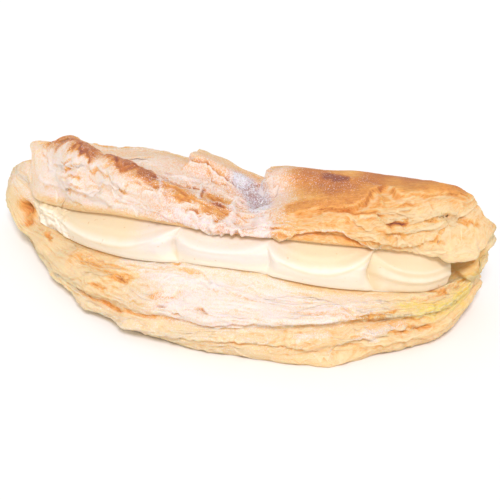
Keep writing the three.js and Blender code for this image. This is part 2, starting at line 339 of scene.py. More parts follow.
    def chart_places(self, points: Array, angle: Array, rows: Array) -> Array:
        """Chart places of points: X, to which walls add what the plan's length runs past X, and the ruler.

        The length counts from the middle of the front. Along the back it is scaled to meet the front at both
        ends.

        Args:
            points: places on the body.
            angle: their plan angles.
            rows: their places along the sections, counted in landmarks.

        Returns:
            Places along the layers and across them in units of the UV map, one row for each point.
        """
        quarter = 180
        turn = np.linspace(-math.pi, math.pi, 4 * quarter + 1)
        x, y = self.outline(turn)
        steps = np.hypot(np.diff(x), np.diff(y + self.sweep(x)))
        run = np.concatenate([[0.0], np.cumsum(steps)])
        total = run[2 * quarter]
        run = np.where(turn > 0, total * (run[-1] - run) / (run[-1] - total), run) - run[quarter]
        past = np.interp(angle, turn, run - x)
        along = points[:, 0] + past * smooth(0.5, 3.0, rows)
        return np.stack([along, self.chart_length(rows)], axis=1) / CHART_UNIT

    def locate(self, run: Array, back: bool | Array) -> tuple[Array, Array]:
        """Plan angles and places of chart points, found by halving the stretch of angles.

        Args:
            run: places along X and lengths on the chart, one row each.
            back: whether the points lie on the back half of the plan, for all or for each.

        Returns:
            The plan angles and the places along the sections.
        """
        place = np.interp(run[:, 1], self.ruler, np.arange(self.landmarks))
        low = np.where(back, 0.0, -math.pi) + np.zeros(len(run))
        high = low + math.pi
        halvings = 22
        for _ in range(halvings):
            middle = (low + high) / 2.0
            ahead = (self.spots(middle, place)[:, 0] > run[:, 0]) != back
            high = np.where(ahead, middle, high)
            low = np.where(ahead, low, middle)
        return middle, place

    def trace(self, path: Chart, back: bool) -> tuple[Array, Array, Array]:
        """A smooth line on the body through chart points.

        Args:
            path: places along X and lengths on the chart, in millimetres.
            back: whether the line lies on the back half of the plan.

        Returns:
            Points about half a millimetre apart, the outward directions there, and the directions along the
            line.
        """
        spacing = 0.5
        marks = np.array(path, dtype=float)
        steps = max(int(np.linalg.norm(np.diff(marks, axis=0), axis=1).sum() / spacing), 4)
        run = curve_weights(np.linspace(0.0, len(marks) - 1.0, steps), len(marks)) @ marks
        angle, place = self.locate(run, back)
        line = self.spots(angle, place)
        return line, self.outward(self.spots, angle, place), unit(np.gradient(line, axis=0))

    def front_angle(self, x: Array) -> Array:
        """Plan angle of the front outline at a place along X."""
        reach = np.where(x < 0, self.left_reach, self.right_reach)
        return -np.arccos(np.sign(x) * np.minimum(np.abs(x) / reach, 1.0) ** (1.0 / self.end_power))


@dataclass
class Skin:
    """The crust's vertices while shaped: places, how edges wander, relief, and amounts of colour and painted
    shade.
    """

    points: Array
    wander: Array
    relief: Array
    toast: Array
    dust: Array
    stain: Array
    seam: Array


class Relief(Enum):
    """How a mark shapes the crust along its path."""

    PAINT = "colour alone"
    RIDGE = "a rounded rise or, with a height under zero, a groove"
    LAP = "the torn edge of a sheet, raised on the left of the path"


@dataclass(frozen=True)
class Mark:
    """A feature of the crust along a path on the chart: a ridge, a groove, a torn edge or a band of colour.

    Over a path the height of a ridge falls off as a round hill, and a groove gets painted shade. A torn edge
    steps up over its width and sinks back over its spread, with painted shade under it and a painted
    highlight along its top. Colour amounts are reached within the band and fade at its rim.
    """

    path: Chart
    relief: Relief = Relief.PAINT
    height: float = 0.0
    width: float = 1.0
    spread: float = 5.0
    band: float = 0.0
    toast: float | None = None
    dust: float | None = None
    stain: float | None = None
    ragged: float = 1.0
    taper: float = 3.0
    back: bool = False

    def apply(self, skin: Skin, form: TurnoverForm) -> None:
        """Adds the mark to the vertices near its path.

        Args:
            skin: the vertices, changed in place.
            form: the smooth body that the path lies on.
        """
        line, outward, ahead = form.trace(self.path, self.back)
        reach = 2.0 + max(2.5 * self.width, 3.0 * self.spread * (self.relief is Relief.LAP), 1.6 * self.band)
        inside = (skin.points > line.min(axis=0) - reach) & (skin.points < line.max(axis=0) + reach)
        close = np.flatnonzero(inside.all(axis=1))
        if not close.size:
            return
        here = skin.points[close] + self.ragged * skin.wander[close]
        gaps = (here**2).sum(axis=1)[:, None] + (line**2).sum(axis=1) - 2.0 * here @ line.T
        nearest = gaps.argmin(axis=1)
        offset = here - line[nearest]
        side = (offset * np.cross(outward, ahead)[nearest]).sum(axis=1)
        along = (offset * ahead[nearest]).sum(axis=1)
        last = len(line) - 1
        past = np.where(nearest == 0, -along, np.where(nearest == last, along, 0.0)).clip(0.0)
        level = hill((offset * outward[nearest]).sum(axis=1), MARK_LEVEL)
        run = np.concatenate([[0.0], np.cumsum(np.linalg.norm(np.diff(line, axis=0), axis=1))])
        taper = smooth(0.0, self.taper, np.minimum(run, run[-1] - run)[nearest] + 0.3)
        distance = np.hypot(side, past)
        height = MARK_GAIN * self.height
        if self.relief is Relief.RIDGE:
            stand = hill(distance, self.width) * taper * level
            skin.relief[close] += height * stand
            # Painted shade in a groove, the stronger the deeper it is
            skin.seam[close] += 0.6 * np.clip(-height, 0.0, 1.0) * stand
        if self.relief is Relief.LAP:
            present = taper * level * smooth(2.0 * self.width, 0.0, past)
            rise = smooth(-self.width, self.width, side) * np.exp(-side.clip(0.0) / self.spread)
            undercut = hill(side + 1.2 * self.width, 0.9 * self.width)
            skin.relief[close] += height * (rise - 0.45 * undercut) * present
            # Painted shade under the torn edge, less a painted highlight along its top
            seam = hill(side + 0.8 * self.width, 1.2 * self.width)
            seam -= 0.5 * hill(side - self.width, self.width)
            skin.seam[close] += min(height, 1.0) * seam * present
        if self.band:
            cover = smooth(1.9 * self.band, 0.2 * self.band, distance) * level
            aims = ((skin.toast, self.toast), (skin.dust, self.dust), (skin.stain, self.stain))
            for amounts, value in aims:
                if value is not None:
                    amounts[close] = mix(amounts[close], value, cover)


def ridge(path: Chart, height: float, width: float, **rest: Any) -> Mark:
    """A rounded rise along a path, or a groove where the height is under zero."""
    return Mark(path, Relief.RIDGE, height, width, **rest)


def lap(path: Chart, height: float, width: float = 0.5, **rest: Any) -> Mark:
    """The torn edge of a sheet along a path."""
    return Mark(path, Relief.LAP, height, width, **rest)


@dataclass(frozen=True)
class Flaking:
    """Small torn edges strewn over a stretch of the crust by a seeded rule, most along the layers."""

    seed: int
    count: int
    x_span: tuple[float, float]
    chart_span: tuple[float, float]
    length: tuple[float, float]
    height: tuple[float, float]
    slope: float = 0.12
    back: bool = False

    def marks(self) -> list[Mark]:
        """One bowed torn edge for each draw of place, length, slope and height.

        Returns:
            The edges.
        """
        draw = np.random.default_rng(self.seed)
        made = []
        for _ in range(self.count):
            x = draw.uniform(*self.x_span)
            s = draw.uniform(*self.chart_span)
            half = draw.uniform(*self.length) / 2.0
            tilt, bow = draw.normal(0.0, self.slope, 2)
            bend = [(t, tilt * t + bow * (1.0 - t * t)) for t in (-1.0, -0.4, 0.3, 1.0)]
            path = [(x + half * t, s + half * across) for t, across in bend]
            height = draw.uniform(*self.height)
            spread = draw.uniform(1.5, 4.0)
            made.append(lap(path, height, 0.45, spread=spread, ragged=1.4, back=self.back))
        return made


UPPER_MARKS = (
    # The browned crest of the left half, in two bands and a paler third
    ridge([(-70, 13), (-65, 12), (-60, 12.5), (-55, 15), (-51, 18)], .5, 2.5, band=2.2, toast=.72, dust=.24,
          ragged=1.5),
    Mark([(-70, 16), (-66, 14.6), (-61, 14.4), (-57, 16), (-52, 18.2)], band=1.2, toast=.88, dust=.16,
         ragged=1.6),
    Mark([(-75, 21), (-72, 17), (-67, 12), (-60, 6)], band=2.8, toast=.74, dust=.24, back=True),
    Mark([(-58, 16), (-50, 14), (-40, 6)], band=6, toast=.36, dust=.5, back=True),
    ridge([(-48, 17.4), (-43, 19), (-38, 20.2), (-33, 20.9), (-27.5, 21.2)], .6, 2.2, band=2, toast=.74,
          dust=.2, ragged=1.4),
    Mark([(-47, 17), (-43, 18.4), (-38, 19.4), (-33, 20), (-28, 20.2)], band=1, toast=.9, dust=.12,
         ragged=1.4),
    lap([(-27, 18.6), (-31, 18.4), (-36, 17.6), (-42, 16), (-47, 14.4)], .5, spread=3),
    ridge([(-25.5, 22), (-20, 22.8), (-16, 23.6), (-12.5, 22.6)], .4, 2, band=1.9, toast=.62, dust=.26,
          ragged=2),
    Mark([(-18, 24.4), (-15, 25), (-13, 24)], band=1, toast=.6, dust=.08, ragged=2),
    ridge([(-27, 18.5), (-23, 18.5), (-18, 18), (-14, 15.5)], -.4, 1, band=.9, toast=.7, dust=.5),
    ridge([(-23, 14), (-16, 10)], .4, .9, band=.9, dust=.85),
    ridge([(-26, 20.6), (-24.6, 24), (-24, 27)], .4, .5, band=.5, dust=.7),
    # Folds and torn edges of the pale front on the left
    ridge([(-69, 28.4), (-60, 29.2), (-53, 30.8), (-46, 31.6), (-40, 32.4)], .8, 1.5, band=1.4, dust=.7),
    ridge([(-62, 26), (-52, 27.5), (-45, 29), (-38, 30)], -.3, 1.4),
    lap([(-54, 22.9), (-49, 24.1), (-41, 27), (-34, 29)], .5, .4, spread=3),
    lap([(-66, 27), (-62, 26), (-58.5, 23.7), (-55, 21.4)], .7, .4, spread=4),
    lap([(-44, 24.4), (-40, 27.4), (-37, 28), (-35, 25.6)], .5, .35, spread=2.5),
    # The torn sheet in the middle, its lumpy white rim and the layers that it bares
    lap([(-4, 6), (-10, 5), (-15, 4.4), (-19, 4.4), (-24, 5)], .6, band=.7, dust=.7),
    lap([(-12, 22), (-13, 17), (-14, 11)], .6, band=.6, dust=.7),
    ridge([(-10, 17), (-7, 17), (-4, 16)], -.6, 2.6, band=2, toast=.58, dust=.24),
    lap([(-9, 22), (-6, 21.5), (-3, 20.8)], .6, band=.8, toast=.72, dust=.4),
    ridge([(-11, 26), (-8, 26.4), (-4, 25.8), (-1, 26)], -.5, 2.4, band=2, toast=.5, dust=.42),
    ridge([(-18, 29.5), (-14, 30.4), (-8, 30.4), (-2, 29.8), (-.6, 26), (-1, 22), (-2, 16.7), (-3, 11)],
          .9, .8, band=.8, dust=.9, ragged=1.6),
    ridge([(-27, 32), (-18, 32.2), (-10, 32.6), (-1, 32.8), (6, 32.8)], .6, .9, band=.8, dust=.7, ragged=2),
    # The valley, painted grey as shade with dark crust under cool sugar, the clump of sugar and the tan
    # beside them
    ridge([(-4, 2), (0, 6), (3, 9), (6, 15)], -.8, 3, band=3, toast=1, dust=.8),
    Mark([(2, 20.6), (5, 23.5)], band=2, toast=.42),
    ridge([(6, 22.5), (9, 28), (11, 31)], .8, 1.6, band=2, dust=.9),
    Mark([(14, 22), (18, 22), (21, 21)], band=2, toast=.5),
    # The browned dome of the right half, its edge and the pale fringe under it
    Mark([(20, 3), (25, 9), (31, 14), (36, 15), (40, 9), (42, 3)], band=6.5, toast=.8, dust=.18),
    Mark([(18, 21), (24, 22), (30, 22), (36, 20), (40, 16)], band=2.8, toast=.66, dust=.06),
    Mark([(42, 2), (50, 5), (56, 6), (62, 12)], band=4.6, toast=.82, dust=.06),
    Mark([(42, 2), (54, 6), (62, 12)], band=5, toast=.82, dust=.06, back=True),
    Mark([(25, 6), (28, 8), (31, 9.3)], band=1.5, toast=1.02, dust=.12),
    lap([(18, 23.7), (24, 24.5), (30, 24.1), (35, 23.7), (38, 22.9), (40, 19.8), (42, 15.5), (43, 11.9)],
        .5, .4, spread=7),
    Mark([(46, 9), (51, 14), (57, 16), (63, 18)], band=4, toast=.66, dust=0),
    lap([(44, 11.9), (46, 16), (48, 19), (52, 21), (57, 21.4), (62, 23), (66, 25), (69, 27)], .5, .4,
        spread=6),
    Mark([(17, 24.8), (24, 25.6), (30, 25.4), (35, 25), (39, 24), (41.6, 20.4), (43.4, 16.4), (45, 14)],
         band=.9, toast=.3, dust=0),
    Mark([(46, 18), (49, 21), (54, 22.8), (60, 23.6), (66, 26.2), (70, 28)], band=.9, toast=.26, dust=0),
    # Folds, ledge and slits of the pale layers on the right; the slits are darkened with painted shade
    ridge([(43, 17), (44, 22), (44.6, 26.5)], .7, 1),
    ridge([(47, 22), (49, 24.5), (48, 27)], .7, 1.2),
    ridge([(53, 23), (55, 25), (58, 26)], .5, 1.2),
    lap([(48, 31.3), (46, 29.7), (43, 27.7), (38, 26.7), (33, 25.6), (25, 25.2)], .7, .6, spread=5),
    lap([(39, 27.7), (46, 28.3), (55, 28.3), (60, 28.6), (64, 29), (70, 31.3)], 1.1, .4, band=.4, toast=.16,
        ragged=.6),
    ridge([(47, 29.3), (49, 29.3), (51.4, 29.3)], -1.5, .45, band=.5, toast=.82, taper=1),
    ridge([(56, 29.2), (58, 29.3), (60, 29.4)], -.9, .4, band=.4, toast=.6, taper=1),
    # The arched lip and the curled layers beside it
    lap([(13, 35.6), (17, 34.6), (22, 32.6), (26, 31.8), (29.5, 31.4), (34, 32), (38, 33.5), (42, 34.5),
         (45, 35.6)], 1.1, .45, band=.5, dust=.6, ragged=.5),
    Mark([(20, 34.6), (25, 33.6), (30, 33.2), (35, 33.8), (39, 35)], band=1.3, toast=.44, dust=0),
    lap([(41, 32.3), (46, 33.7), (49, 33.7), (54, 33.7), (59, 33), (64, 33)], .7, .4, spread=3),
    lap([(45, 35.4), (51, 35.4), (57, 35.7), (63, 36.4)], .5, .4, spread=2),
    lap([(43, 30.7), (48, 31.4), (54, 31.2), (60, 31)], .6, .4, spread=3),
    lap([(74, 33.6), (69, 32), (65, 31), (62, 32), (59, 34)], .8, .5, spread=5),
    # The full underside of the block at the right end
    ridge([(62, 36), (68, 36.4), (74, 37)], 1.3, 3),
)

LOWER_MARKS = (
    # The crease between belly and roll, and the gap under the crease of the first two lobes of cream, both
    # darkened with painted shade
    ridge([(-50, 113.6), (-37, 113.4), (-24, 112), (-13, 111.4), (3, 111), (15, 111.2), (26, 110.4),
           (41, 110), (48, 109), (51, 105), (54, 101.5)], -.5, .6, band=.6, toast=.36, ragged=.6, taper=9),
    ridge([(-18.6, 91), (-16, 90.6)], -.9, .7, band=.8, toast=.8, taper=1),
    # Orange patches and sugar on the belly
    Mark([(-56, 98), (-48, 97.6), (-40, 98.6)], band=2.4, toast=.38, dust=.1),
    ridge([(-38, 100), (-35, 99.4), (-32, 99.2)], -.5, .9, band=1.2, toast=.54, dust=.1),
    Mark([(-23, 103.4), (-17, 103.4), (-12, 102.8)], band=1.2, toast=.5, dust=.3),
    ridge([(-27, 95.2), (-20, 96.8), (-13, 96.8), (-7, 96.8), (-1, 96.4)], .5, 1.8, band=1.8, dust=.86),
    Mark([(-36, 92.4), (-24, 93), (-10, 93.4), (4, 93.4), (17, 94)], band=2.4, toast=.1, dust=.62),
    Mark([(-15, 104.6), (-5, 103), (4, 104), (16, 104.6)], band=4.5, dust=.8),
    Mark([(19, 99), (25, 100.3), (31, 102.8), (37, 103.4)], band=4, dust=.72),
    Mark([(-4, 107.5), (4, 107.5), (14, 107.5)], band=2.4, dust=.7),
    # Small slits between the layers, darkened with painted shade
    ridge([(-21, 105.9), (-18, 105.7)], -.9, .45, band=.5, toast=.65, taper=1),
    ridge([(-7.5, 106.4), (-3, 105.8)], -.8, .4, band=.4, toast=.5, taper=1),
    ridge([(-15, 109.5), (-12, 108.7)], -.8, .45, band=.5, toast=.55, taper=1),
    ridge([(-46, 105.2), (-40, 104)], -.8, .5, band=.6, toast=.36, taper=1.5),
    # Thin sheets under the roll, and the flake at the right
    lap([(-34, 121), (-21, 119.7), (-7, 118.1), (9, 117.8), (24, 119.3), (33, 122)], .8, .45, ragged=.6),
    lap([(34, 122.4), (37, 120.9), (40, 118.9), (43, 118.4), (46, 118.5), (49, 119.6)], .8, .4, band=.5,
        dust=.6),
    # A groove darkened with painted shade
    ridge([(50, 117.2), (54, 117.2), (60, 117.2), (65, 117.6)], -.9, .7, band=.7, toast=.4),
    Mark([(43, 117.2), (48, 116.8), (52, 115.5), (56, 115.2)], band=1.8, dust=.46),
    Mark([(26, 116.5), (34, 116)], band=1.2, dust=.5),
    # Right end: the yellow stain, the hole under the cream, darkened with painted shade, and the lump beside
    # the cream's cut end
    Mark([(55, 101), (60, 102), (66, 105), (71, 112)], band=2.4, toast=.04, stain=1),
    ridge([(60, 91), (64, 95)], -1, .9, band=1, toast=.5),
    ridge([(67, 84), (70, 83), (73, 80)], 3, 2.6, band=3, toast=.36, dust=0, stain=.25),
    # Left cheek: the deep hole at the corner of the mouth, and slits beside it, both darkened with painted
    # shade
    ridge([(-87, 90), (-84.5, 88.4), (-82, 88)], -3, 1.8, band=1.9, toast=.54, dust=0),
    ridge([(-84, 96), (-82.5, 99)], -1.4, 1.4, band=1.4, toast=.4, dust=.1, taper=1.5),
    ridge([(-74, 94), (-71.5, 97.4), (-69, 98.2)], -1.2, .7, band=.8, toast=.46),
)

# Strewn over the upper front, the top, the lower front, the upper back and the lower back
FLAKINGS = (
    Flaking(11, 32, (-80, 74), (22, 34), (5, 16), (.2, .45)),
    Flaking(12, 16, (-70, 8), (2, 23), (4, 12), (.2, .4), slope=.5),
    Flaking(13, 50, (-60, 66), (92, 124), (6, 24), (.15, .38)),
    Flaking(14, 46, (-68, 54), (24, 60), (8, 30), (.3, .7), back=True),
    Flaking(15, 56, (-66, 52), (60, 124), (8, 34), (.3, .7), back=True),
)


class Amount:
    """A number on a node's socket. Arithmetic on it adds Math nodes to its material."""

    def __init__(self, graph: "Graph", socket: bpy.types.NodeSocket) -> None:
        """Wraps an output socket of a graph's node."""
        self.graph = graph
        self.socket = socket

    def math(self, operation: str, first: Any, second: Any) -> "Amount":
        """A Math node on two values or links."""
        made = self.graph.node("ShaderNodeMath", {"operation": operation}, {0: first, 1: second})
        return Amount(self.graph, made.outputs[0])

    def __add__(self, other: Any) -> "Amount":
        """This and another added."""
        return self.math("ADD", self, other)

    __radd__ = __add__

    def __mul__(self, other: Any) -> "Amount":
        """This and another multiplied."""
        return self.math("MULTIPLY", self, other)

    __rmul__ = __mul__

    def __sub__(self, other: Any) -> "Amount":
        """Another taken from this."""
        return self.math("SUBTRACT", self, other)

    def __rsub__(self, other: Any) -> "Amount":
        """This taken from another."""
        return self.math("SUBTRACT", other, self)

    def peak(self) -> "Amount":
        """1 where this is a half, falling to 0 at 0 and at 1."""
        return 1.0 - self.math("ABSOLUTE", 2.0 * self - 1.0, 0.0)

    def between(self, low: float, high: float) -> "Amount":
        """A soft step from 0 to 1.

        Args:
            low: the value at which it starts.
            high: the value at which it ends.

        Returns:
            The step.
        """
        settings = {"interpolation_type": "SMOOTHSTEP"}
        sockets = {"Value": self, "From Min": low, "From Max": high}
        return Amount(self.graph, self.graph.node("ShaderNodeMapRange", settings, sockets).outputs["Result"])


class Graph:
    """A material's node tree while it is being made."""

    def __init__(self, name: str) -> None:
        """Starts an empty material.

        Args:
            name: the material's name.
        """
        self.material = bpy.data.materials.new(name)
        self.material.use_nodes = True
        self.tree = self.material.node_tree
        self.tree.nodes.clear()

    def node(self, kind: str, settings: dict[str, Any], sockets: dict[str | int, Any]) -> bpy.types.Node:
        """Adds a node.

        Args:
            kind: the node's type.
            settings: its properties, set first; "stops" holds a ramp's places and colours.
            sockets: values or links for its inputs, by name or number.

        Returns:
            The node.
        """
        made = self.tree.nodes.new(kind)
        for key, value in settings.items():
            if key == "stops":
                ramp = made.color_ramp
                for place, _ in value[len(ramp.elements):]:
                    ramp.elements.new(place)
                for element, (place, colour) in zip(ramp.elements, value):
                    element.position = place
                    element.color = colour
            else:
                setattr(made, key, value)
        for key, value in sockets.items():
            if isinstance(value, Amount):
                value = value.socket
            if isinstance(value, bpy.types.NodeSocket):
                self.tree.links.new(value, made.inputs[key])
            else:
                made.inputs[key].default_value = value
        return made

    def attribute(self, name: str) -> Amount:
        """An amount stored on the mesh's vertices."""
        made = self.node("ShaderNodeAttribute", {"attribute_name": name}, {})
        return Amount(self, made.outputs["Fac"])

    def coordinates(self) -> bpy.types.NodeSocket:
        """Object coordinates, in metres."""
        return self.node("ShaderNodeTexCoord", {}, {}).outputs["Object"]

    def layers(self, scale: tuple[float, float, float]) -> bpy.types.NodeSocket:
        """The chart of the layers, which is the piece's own UV map, swayed by noise and stretched.

        Args:
            scale: how far it is stretched along each axis.

        Returns:
            Places on the chart.
        """
        chart = self.node("ShaderNodeUVMap", {"uv_map": "chart"}, {}).outputs["UV"]
        cloud = {"Vector": self.coordinates(), "Scale": 110.0}
        drift = self.node("ShaderNodeTexNoise", {}, cloud).outputs["Color"]
        sway = {0: drift, 1: (0.08, 0.05, 0.0), 2: chart}
        swayed = self.node("ShaderNodeVectorMath", {"operation": "MULTIPLY_ADD"}, sway).outputs["Vector"]
        made = self.node("ShaderNodeVectorMath", {"operation": "MULTIPLY"}, {0: swayed, 1: scale})
        return made.outputs["Vector"]

    def noise(self, where: bpy.types.NodeSocket, scale: float, detail: float = 2.0,
              rough: float = 0.5) -> Amount:
        """Smooth noise from 0 to 1 about a half."""
        sockets = {"Vector": where, "Scale": scale, "Detail": detail, "Roughness": rough}
        return Amount(self, self.node("ShaderNodeTexNoise", {}, sockets).outputs[0])

    def ramp(self, amount: Amount, stops: Sequence[tuple[float, Sequence[float]]]) -> bpy.types.NodeSocket:
        """A colour looked up on a ramp of stops."""
        return self.node("ShaderNodeValToRGB", {"stops": stops}, {"Fac": amount}).outputs["Color"]

    def blend(self, share: Amount, a: Any, b: Any) -> bpy.types.NodeSocket:
        """A colour a share of the way from a to b."""
        made = self.node("ShaderNodeMix", {"data_type": "RGBA"}, {0: share, 6: a, 7: b})
        return made.outputs[2]

    def bump(self, height: Amount, strength: float, depth: float) -> bpy.types.NodeSocket:
        """A normal tilted by a height that swings over a depth in metres."""
        sockets = {"Height": height, "Strength": strength, "Distance": depth}
        return self.node("ShaderNodeBump", {}, sockets).outputs["Normal"]

    def shade(self, sockets: dict[str, Any]) -> bpy.types.Material:
        """Ends the tree in a Principled shader.

        Args:
            sockets: values or links for the shader's inputs.

        Returns:
            The material.
        """
        shader = self.node("ShaderNodeBsdfPrincipled", {}, sockets)
        self.node("ShaderNodeOutputMaterial", {}, {"Surface": shader.outputs["BSDF"]})
        return self.material


def hue(code: str) -> tuple[float, float, float, float]:
    """A linear colour.

    Args:
        code: six hexadecimal digits of sRGB.

    Returns:
        Red, green, blue and a full alpha.
    """
    shares = [int(code[k:k + 2], 16) / 255.0 for k in (0, 2, 4)]
    linear = [s / 12.92 if s <= 0.04045 else ((s + 0.055) / 1.055) ** 2.4 for s in shares]
    return (*linear, 1.0)


@dataclass(frozen=True)
class CrustFinish:
    """Baked puff pastry: colours from pale dough to dark crust, layers along it, and icing sugar."""

    dough: str = "f3daae"
    pale: str = "f1cd9a"
    gold: str = "efae62"
    brown: str = "cb814a"
    dark: str = "9a5f4e"
    sugar: str = "f4e7e1"
    # Painted shade: the cool grey of sugar over dark crust
    grey_sugar_shade: str = "ebecf2"
    stain: str = "ffdc5c"
    roughness: float = 0.6
    scatter: float = 0.4
    scatter_radius: tuple[float, float, float] = (1.0, 0.55, 0.25)
    scatter_scale: float = 0.002
    specular: float = 0.12
    bump_strength: float = 0.45
    bump_depth: float = 0.0005

    def material(self) -> bpy.types.Material:
        """Colour by how far the crust is toasted, with streaks along the layers, under drifts of sugar.

        Painted shade browns the seams under edges and in grooves, and painted highlights pale the tops of
        edges. Sugar turns a cool grey over dark crust, a painted shade that greys the valley.

        Returns:
            The material.
        """
        g = Graph("crust")
        where = g.coordinates()
        fibres = g.noise(g.layers((25.0, 160.0, 1.0)), 1.0, 3.0, 0.6)
        threads = g.noise(g.layers((60.0, 380.0, 1.0)), 1.0, 2.0)
        pale_veins = g.noise(g.layers((14.0, 80.0, 1.0)), 1.0, 4.0, 0.65).peak().between(0.88, 1.0)
        dark_veins = g.noise(g.layers((10.0, 62.0, 1.0)), 1.0, 4.0, 0.65).peak().between(0.9, 1.0)
        mottle = g.noise(where, 170.0, 3.0, 0.6)
        specks = g.noise(where, 900.0, 2.0)
        toast = g.attribute("toast")
        seam = g.attribute("seam")
        dust = g.attribute("dust")
        flaky = (1.0 - 0.7 * toast.between(0.45, 0.8)) * (1.0 - 0.5 * dust)
        streaks = 0.36 * (fibres - 0.5) + 0.16 * (threads - 0.5) - 0.12 * pale_veins + 0.12 * dark_veins
        # Painted shade browns the seams, and painted highlights pale the tops of edges
        browned = toast + 0.3 * seam + 0.2 * (mottle - 0.5) + 0.18 * (specks - 0.5) + flaky * streaks
        crust = g.ramp(browned, [
            (0.02, hue(self.dough)), (0.27, hue(self.pale)), (0.52, hue(self.gold)),
            (0.78, hue(self.brown)), (1.0, hue(self.dark))])
        crust = g.blend(0.75 * g.attribute("stain") * fibres.between(0.3, 0.6), crust, hue(self.stain))
        grains = g.noise(where, 2400.0, 2.0, 0.7)
        clumps = g.noise(where, 420.0, 2.0)
        drifts = g.noise(where, 120.0, 2.0)
        drifted = 0.3 * (clumps - 0.5) + 0.35 * (drifts - 0.5) + 0.5 * (fibres - 0.5)
        film = (dust + drifted - 0.45 * seam).between(0.2, 1.0)
        specked = (grains + 0.3 * dust - 0.15 * seam).between(0.63, 0.73) * dust.between(0.0, 0.12)
        cover = 0.75 * specked + 0.7 * film * (1.0 - 0.75 * specked)
        # Sugar over dark crust is painted a cool grey as shade
        sugar_and_shade = g.blend(toast.between(0.45, 0.95), hue(self.sugar), hue(self.grey_sugar_shade))
        colour = g.blend(cover, crust, sugar_and_shade)
        layered = 0.6 * fibres + 0.35 * threads + 0.4 * pale_veins - 0.4 * dark_veins
        height = flaky * layered + 0.3 * specks + 0.4 * cover
        return g.shade({
            "Base Color": colour,
            "Roughness": self.roughness + 0.25 * cover - 0.12 * toast,
            "Normal": g.bump(height, self.bump_strength, self.bump_depth),
            "Subsurface Weight": self.scatter,
            "Subsurface Radius": self.scatter_radius,
            "Subsurface Scale": self.scatter_scale,
            "Specular IOR Level": self.specular,
        })


@dataclass(frozen=True)
class CreamFinish:
    """Piped custard cream: satin ivory, yellower as painted shade in its hollows, with a breath of sugar on
    crests.
    """

    ivory: str = "f9efdc"
    # The yellower tone that paints shade in the cream's hollows, and tints it towards the right
    custard: str = "eedab6"
    sugar: str = "eee4df"
    speck: str = "d9a050"
    roughness: float = 0.5
    scatter: float = 0.2
    scatter_radius: tuple[float, float, float] = (1.0, 0.7, 0.4)
    scatter_scale: float = 0.002
    specular: float = 0.3
    bump_strength: float = 0.25
    bump_depth: float = 0.0003

    def material(self) -> bpy.types.Material:
        """Ivory to custard by the stored amount of painted shade and tint, with fine mottling, specks and
        sugar.

        Returns:
            The material.
        """
        g = Graph("cream")
        where = g.coordinates()
        mottle = g.noise(where, 260.0, 3.0)
        grains = g.noise(where, 1400.0, 2.0, 0.7)
        hollow = g.attribute("hollow") + 0.12 * (mottle - 0.5)
        colour = g.blend(hollow.between(0.0, 0.3), hue(self.ivory), hue(self.custard))
        cover = (g.attribute("dust") + 0.5 * (grains - 0.5)).between(0.2, 1.0)
        colour = g.blend(0.8 * cover, colour, hue(self.sugar))
        specks = g.noise(where, 700.0, 0.0).between(0.8, 0.86)
        colour = g.blend(0.4 * specks, colour, hue(self.speck))
        height = 0.4 * mottle + 0.3 * grains + 0.2 * cover
        return g.shade({
            "Base Color": colour,
            "Roughness": self.roughness + 0.2 * cover,
            "Normal": g.bump(height, self.bump_strength, self.bump_depth),
            "Subsurface Weight": self.scatter,
            "Subsurface Radius": self.scatter_radius,
            "Subsurface Scale": self.scatter_scale,
            "Specular IOR Level": self.specular,
        })


@dataclass(frozen=True)
class FloorFinish:
    """A plain pale floor."""

    tone: str = "fbfbfb"
    shade: str = "f4f4f4"
    roughness: float = 0.9

    def material(self) -> bpy.types.Material:
        """One even matt tone with the faintest unevenness.

        Returns:
            The material.
        """
        g = Graph("floor")
        cloud = g.noise(g.coordinates(), 3.0)
        colour = g.blend(0.1 * cloud, hue(self.tone), hue(self.shade))
        return g.shade({"Base Color": colour, "Roughness": self.roughness, "Specular IOR Level": 0.0})


def put(name: str, data: bpy.types.ID) -> bpy.types.Object:
    """Puts a mesh, a lamp or a camera into the scene at the origin.

    Args:
        name: the object's name.
        data: what it shows.

    Returns:
        The object.
    """
    made = bpy.data.objects.new(name, data)
    bpy.context.scene.collection.objects.link(made)
    return made


def lay_mesh(name: str, points: Array, faces: Sequence[Array], amounts: dict[str, Array],
             chart: Array | None, material: bpy.types.Material) -> bpy.types.Object:
    """Puts a surface into a mesh object at the origin.

    Args:
        name: the piece's name.
        points: places in millimetres in the pastry's own frame, one row a vertex.
        faces: arrays of corner numbers, each for faces of one size.
        amounts: values for each vertex, stored as attributes.
        chart: places on the layers' chart for each vertex, or None.
        material: the finish.

    Returns:
        The object.
    """
    corners = np.concatenate([f.ravel() for f in faces]).astype(np.int32)
    sizes = np.concatenate([np.full(len(f), f.shape[1]) for f in faces])
    starts = (np.cumsum(sizes) - sizes).astype(np.int32)
    mesh = bpy.data.meshes.new(name)
    mesh.vertices.add(len(points))
    placed = (points + np.array(TurnoverForm().spine_place)) * METRES
    mesh.vertices.foreach_set("co", placed.astype(np.float32).ravel())
    mesh.loops.add(len(corners))
    mesh.loops.foreach_set("vertex_index", corners)
    mesh.polygons.add(len(sizes))
    mesh.polygons.foreach_set("loop_start", starts)
    mesh.update(calc_edges=True)
    mesh.shade_smooth()
    for key, values in amounts.items():
        stored = mesh.attributes.new(key, "FLOAT", "POINT")
        stored.data.foreach_set("value", values.astype(np.float32))
    if chart is not None:
        stored = mesh.uv_layers.new(name="chart")
        stored.data.foreach_set("uv", chart[corners].astype(np.float32).ravel())
    mesh.materials.append(material)
    return put(name, mesh)


def seat(piece: bpy.types.Object, node: str) -> None:
    """Rides a piece on the body, hides the node that it replaces, and logs how many triangles it has.

    Args:
        piece: the finished piece.
        node: the node that it replaces.
    """
    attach(piece, "root")
    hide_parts(node)
    piece.data.calc_loop_triangles()
    log.info("%s: %d triangles", piece.name, len(piece.data.loop_triangles))


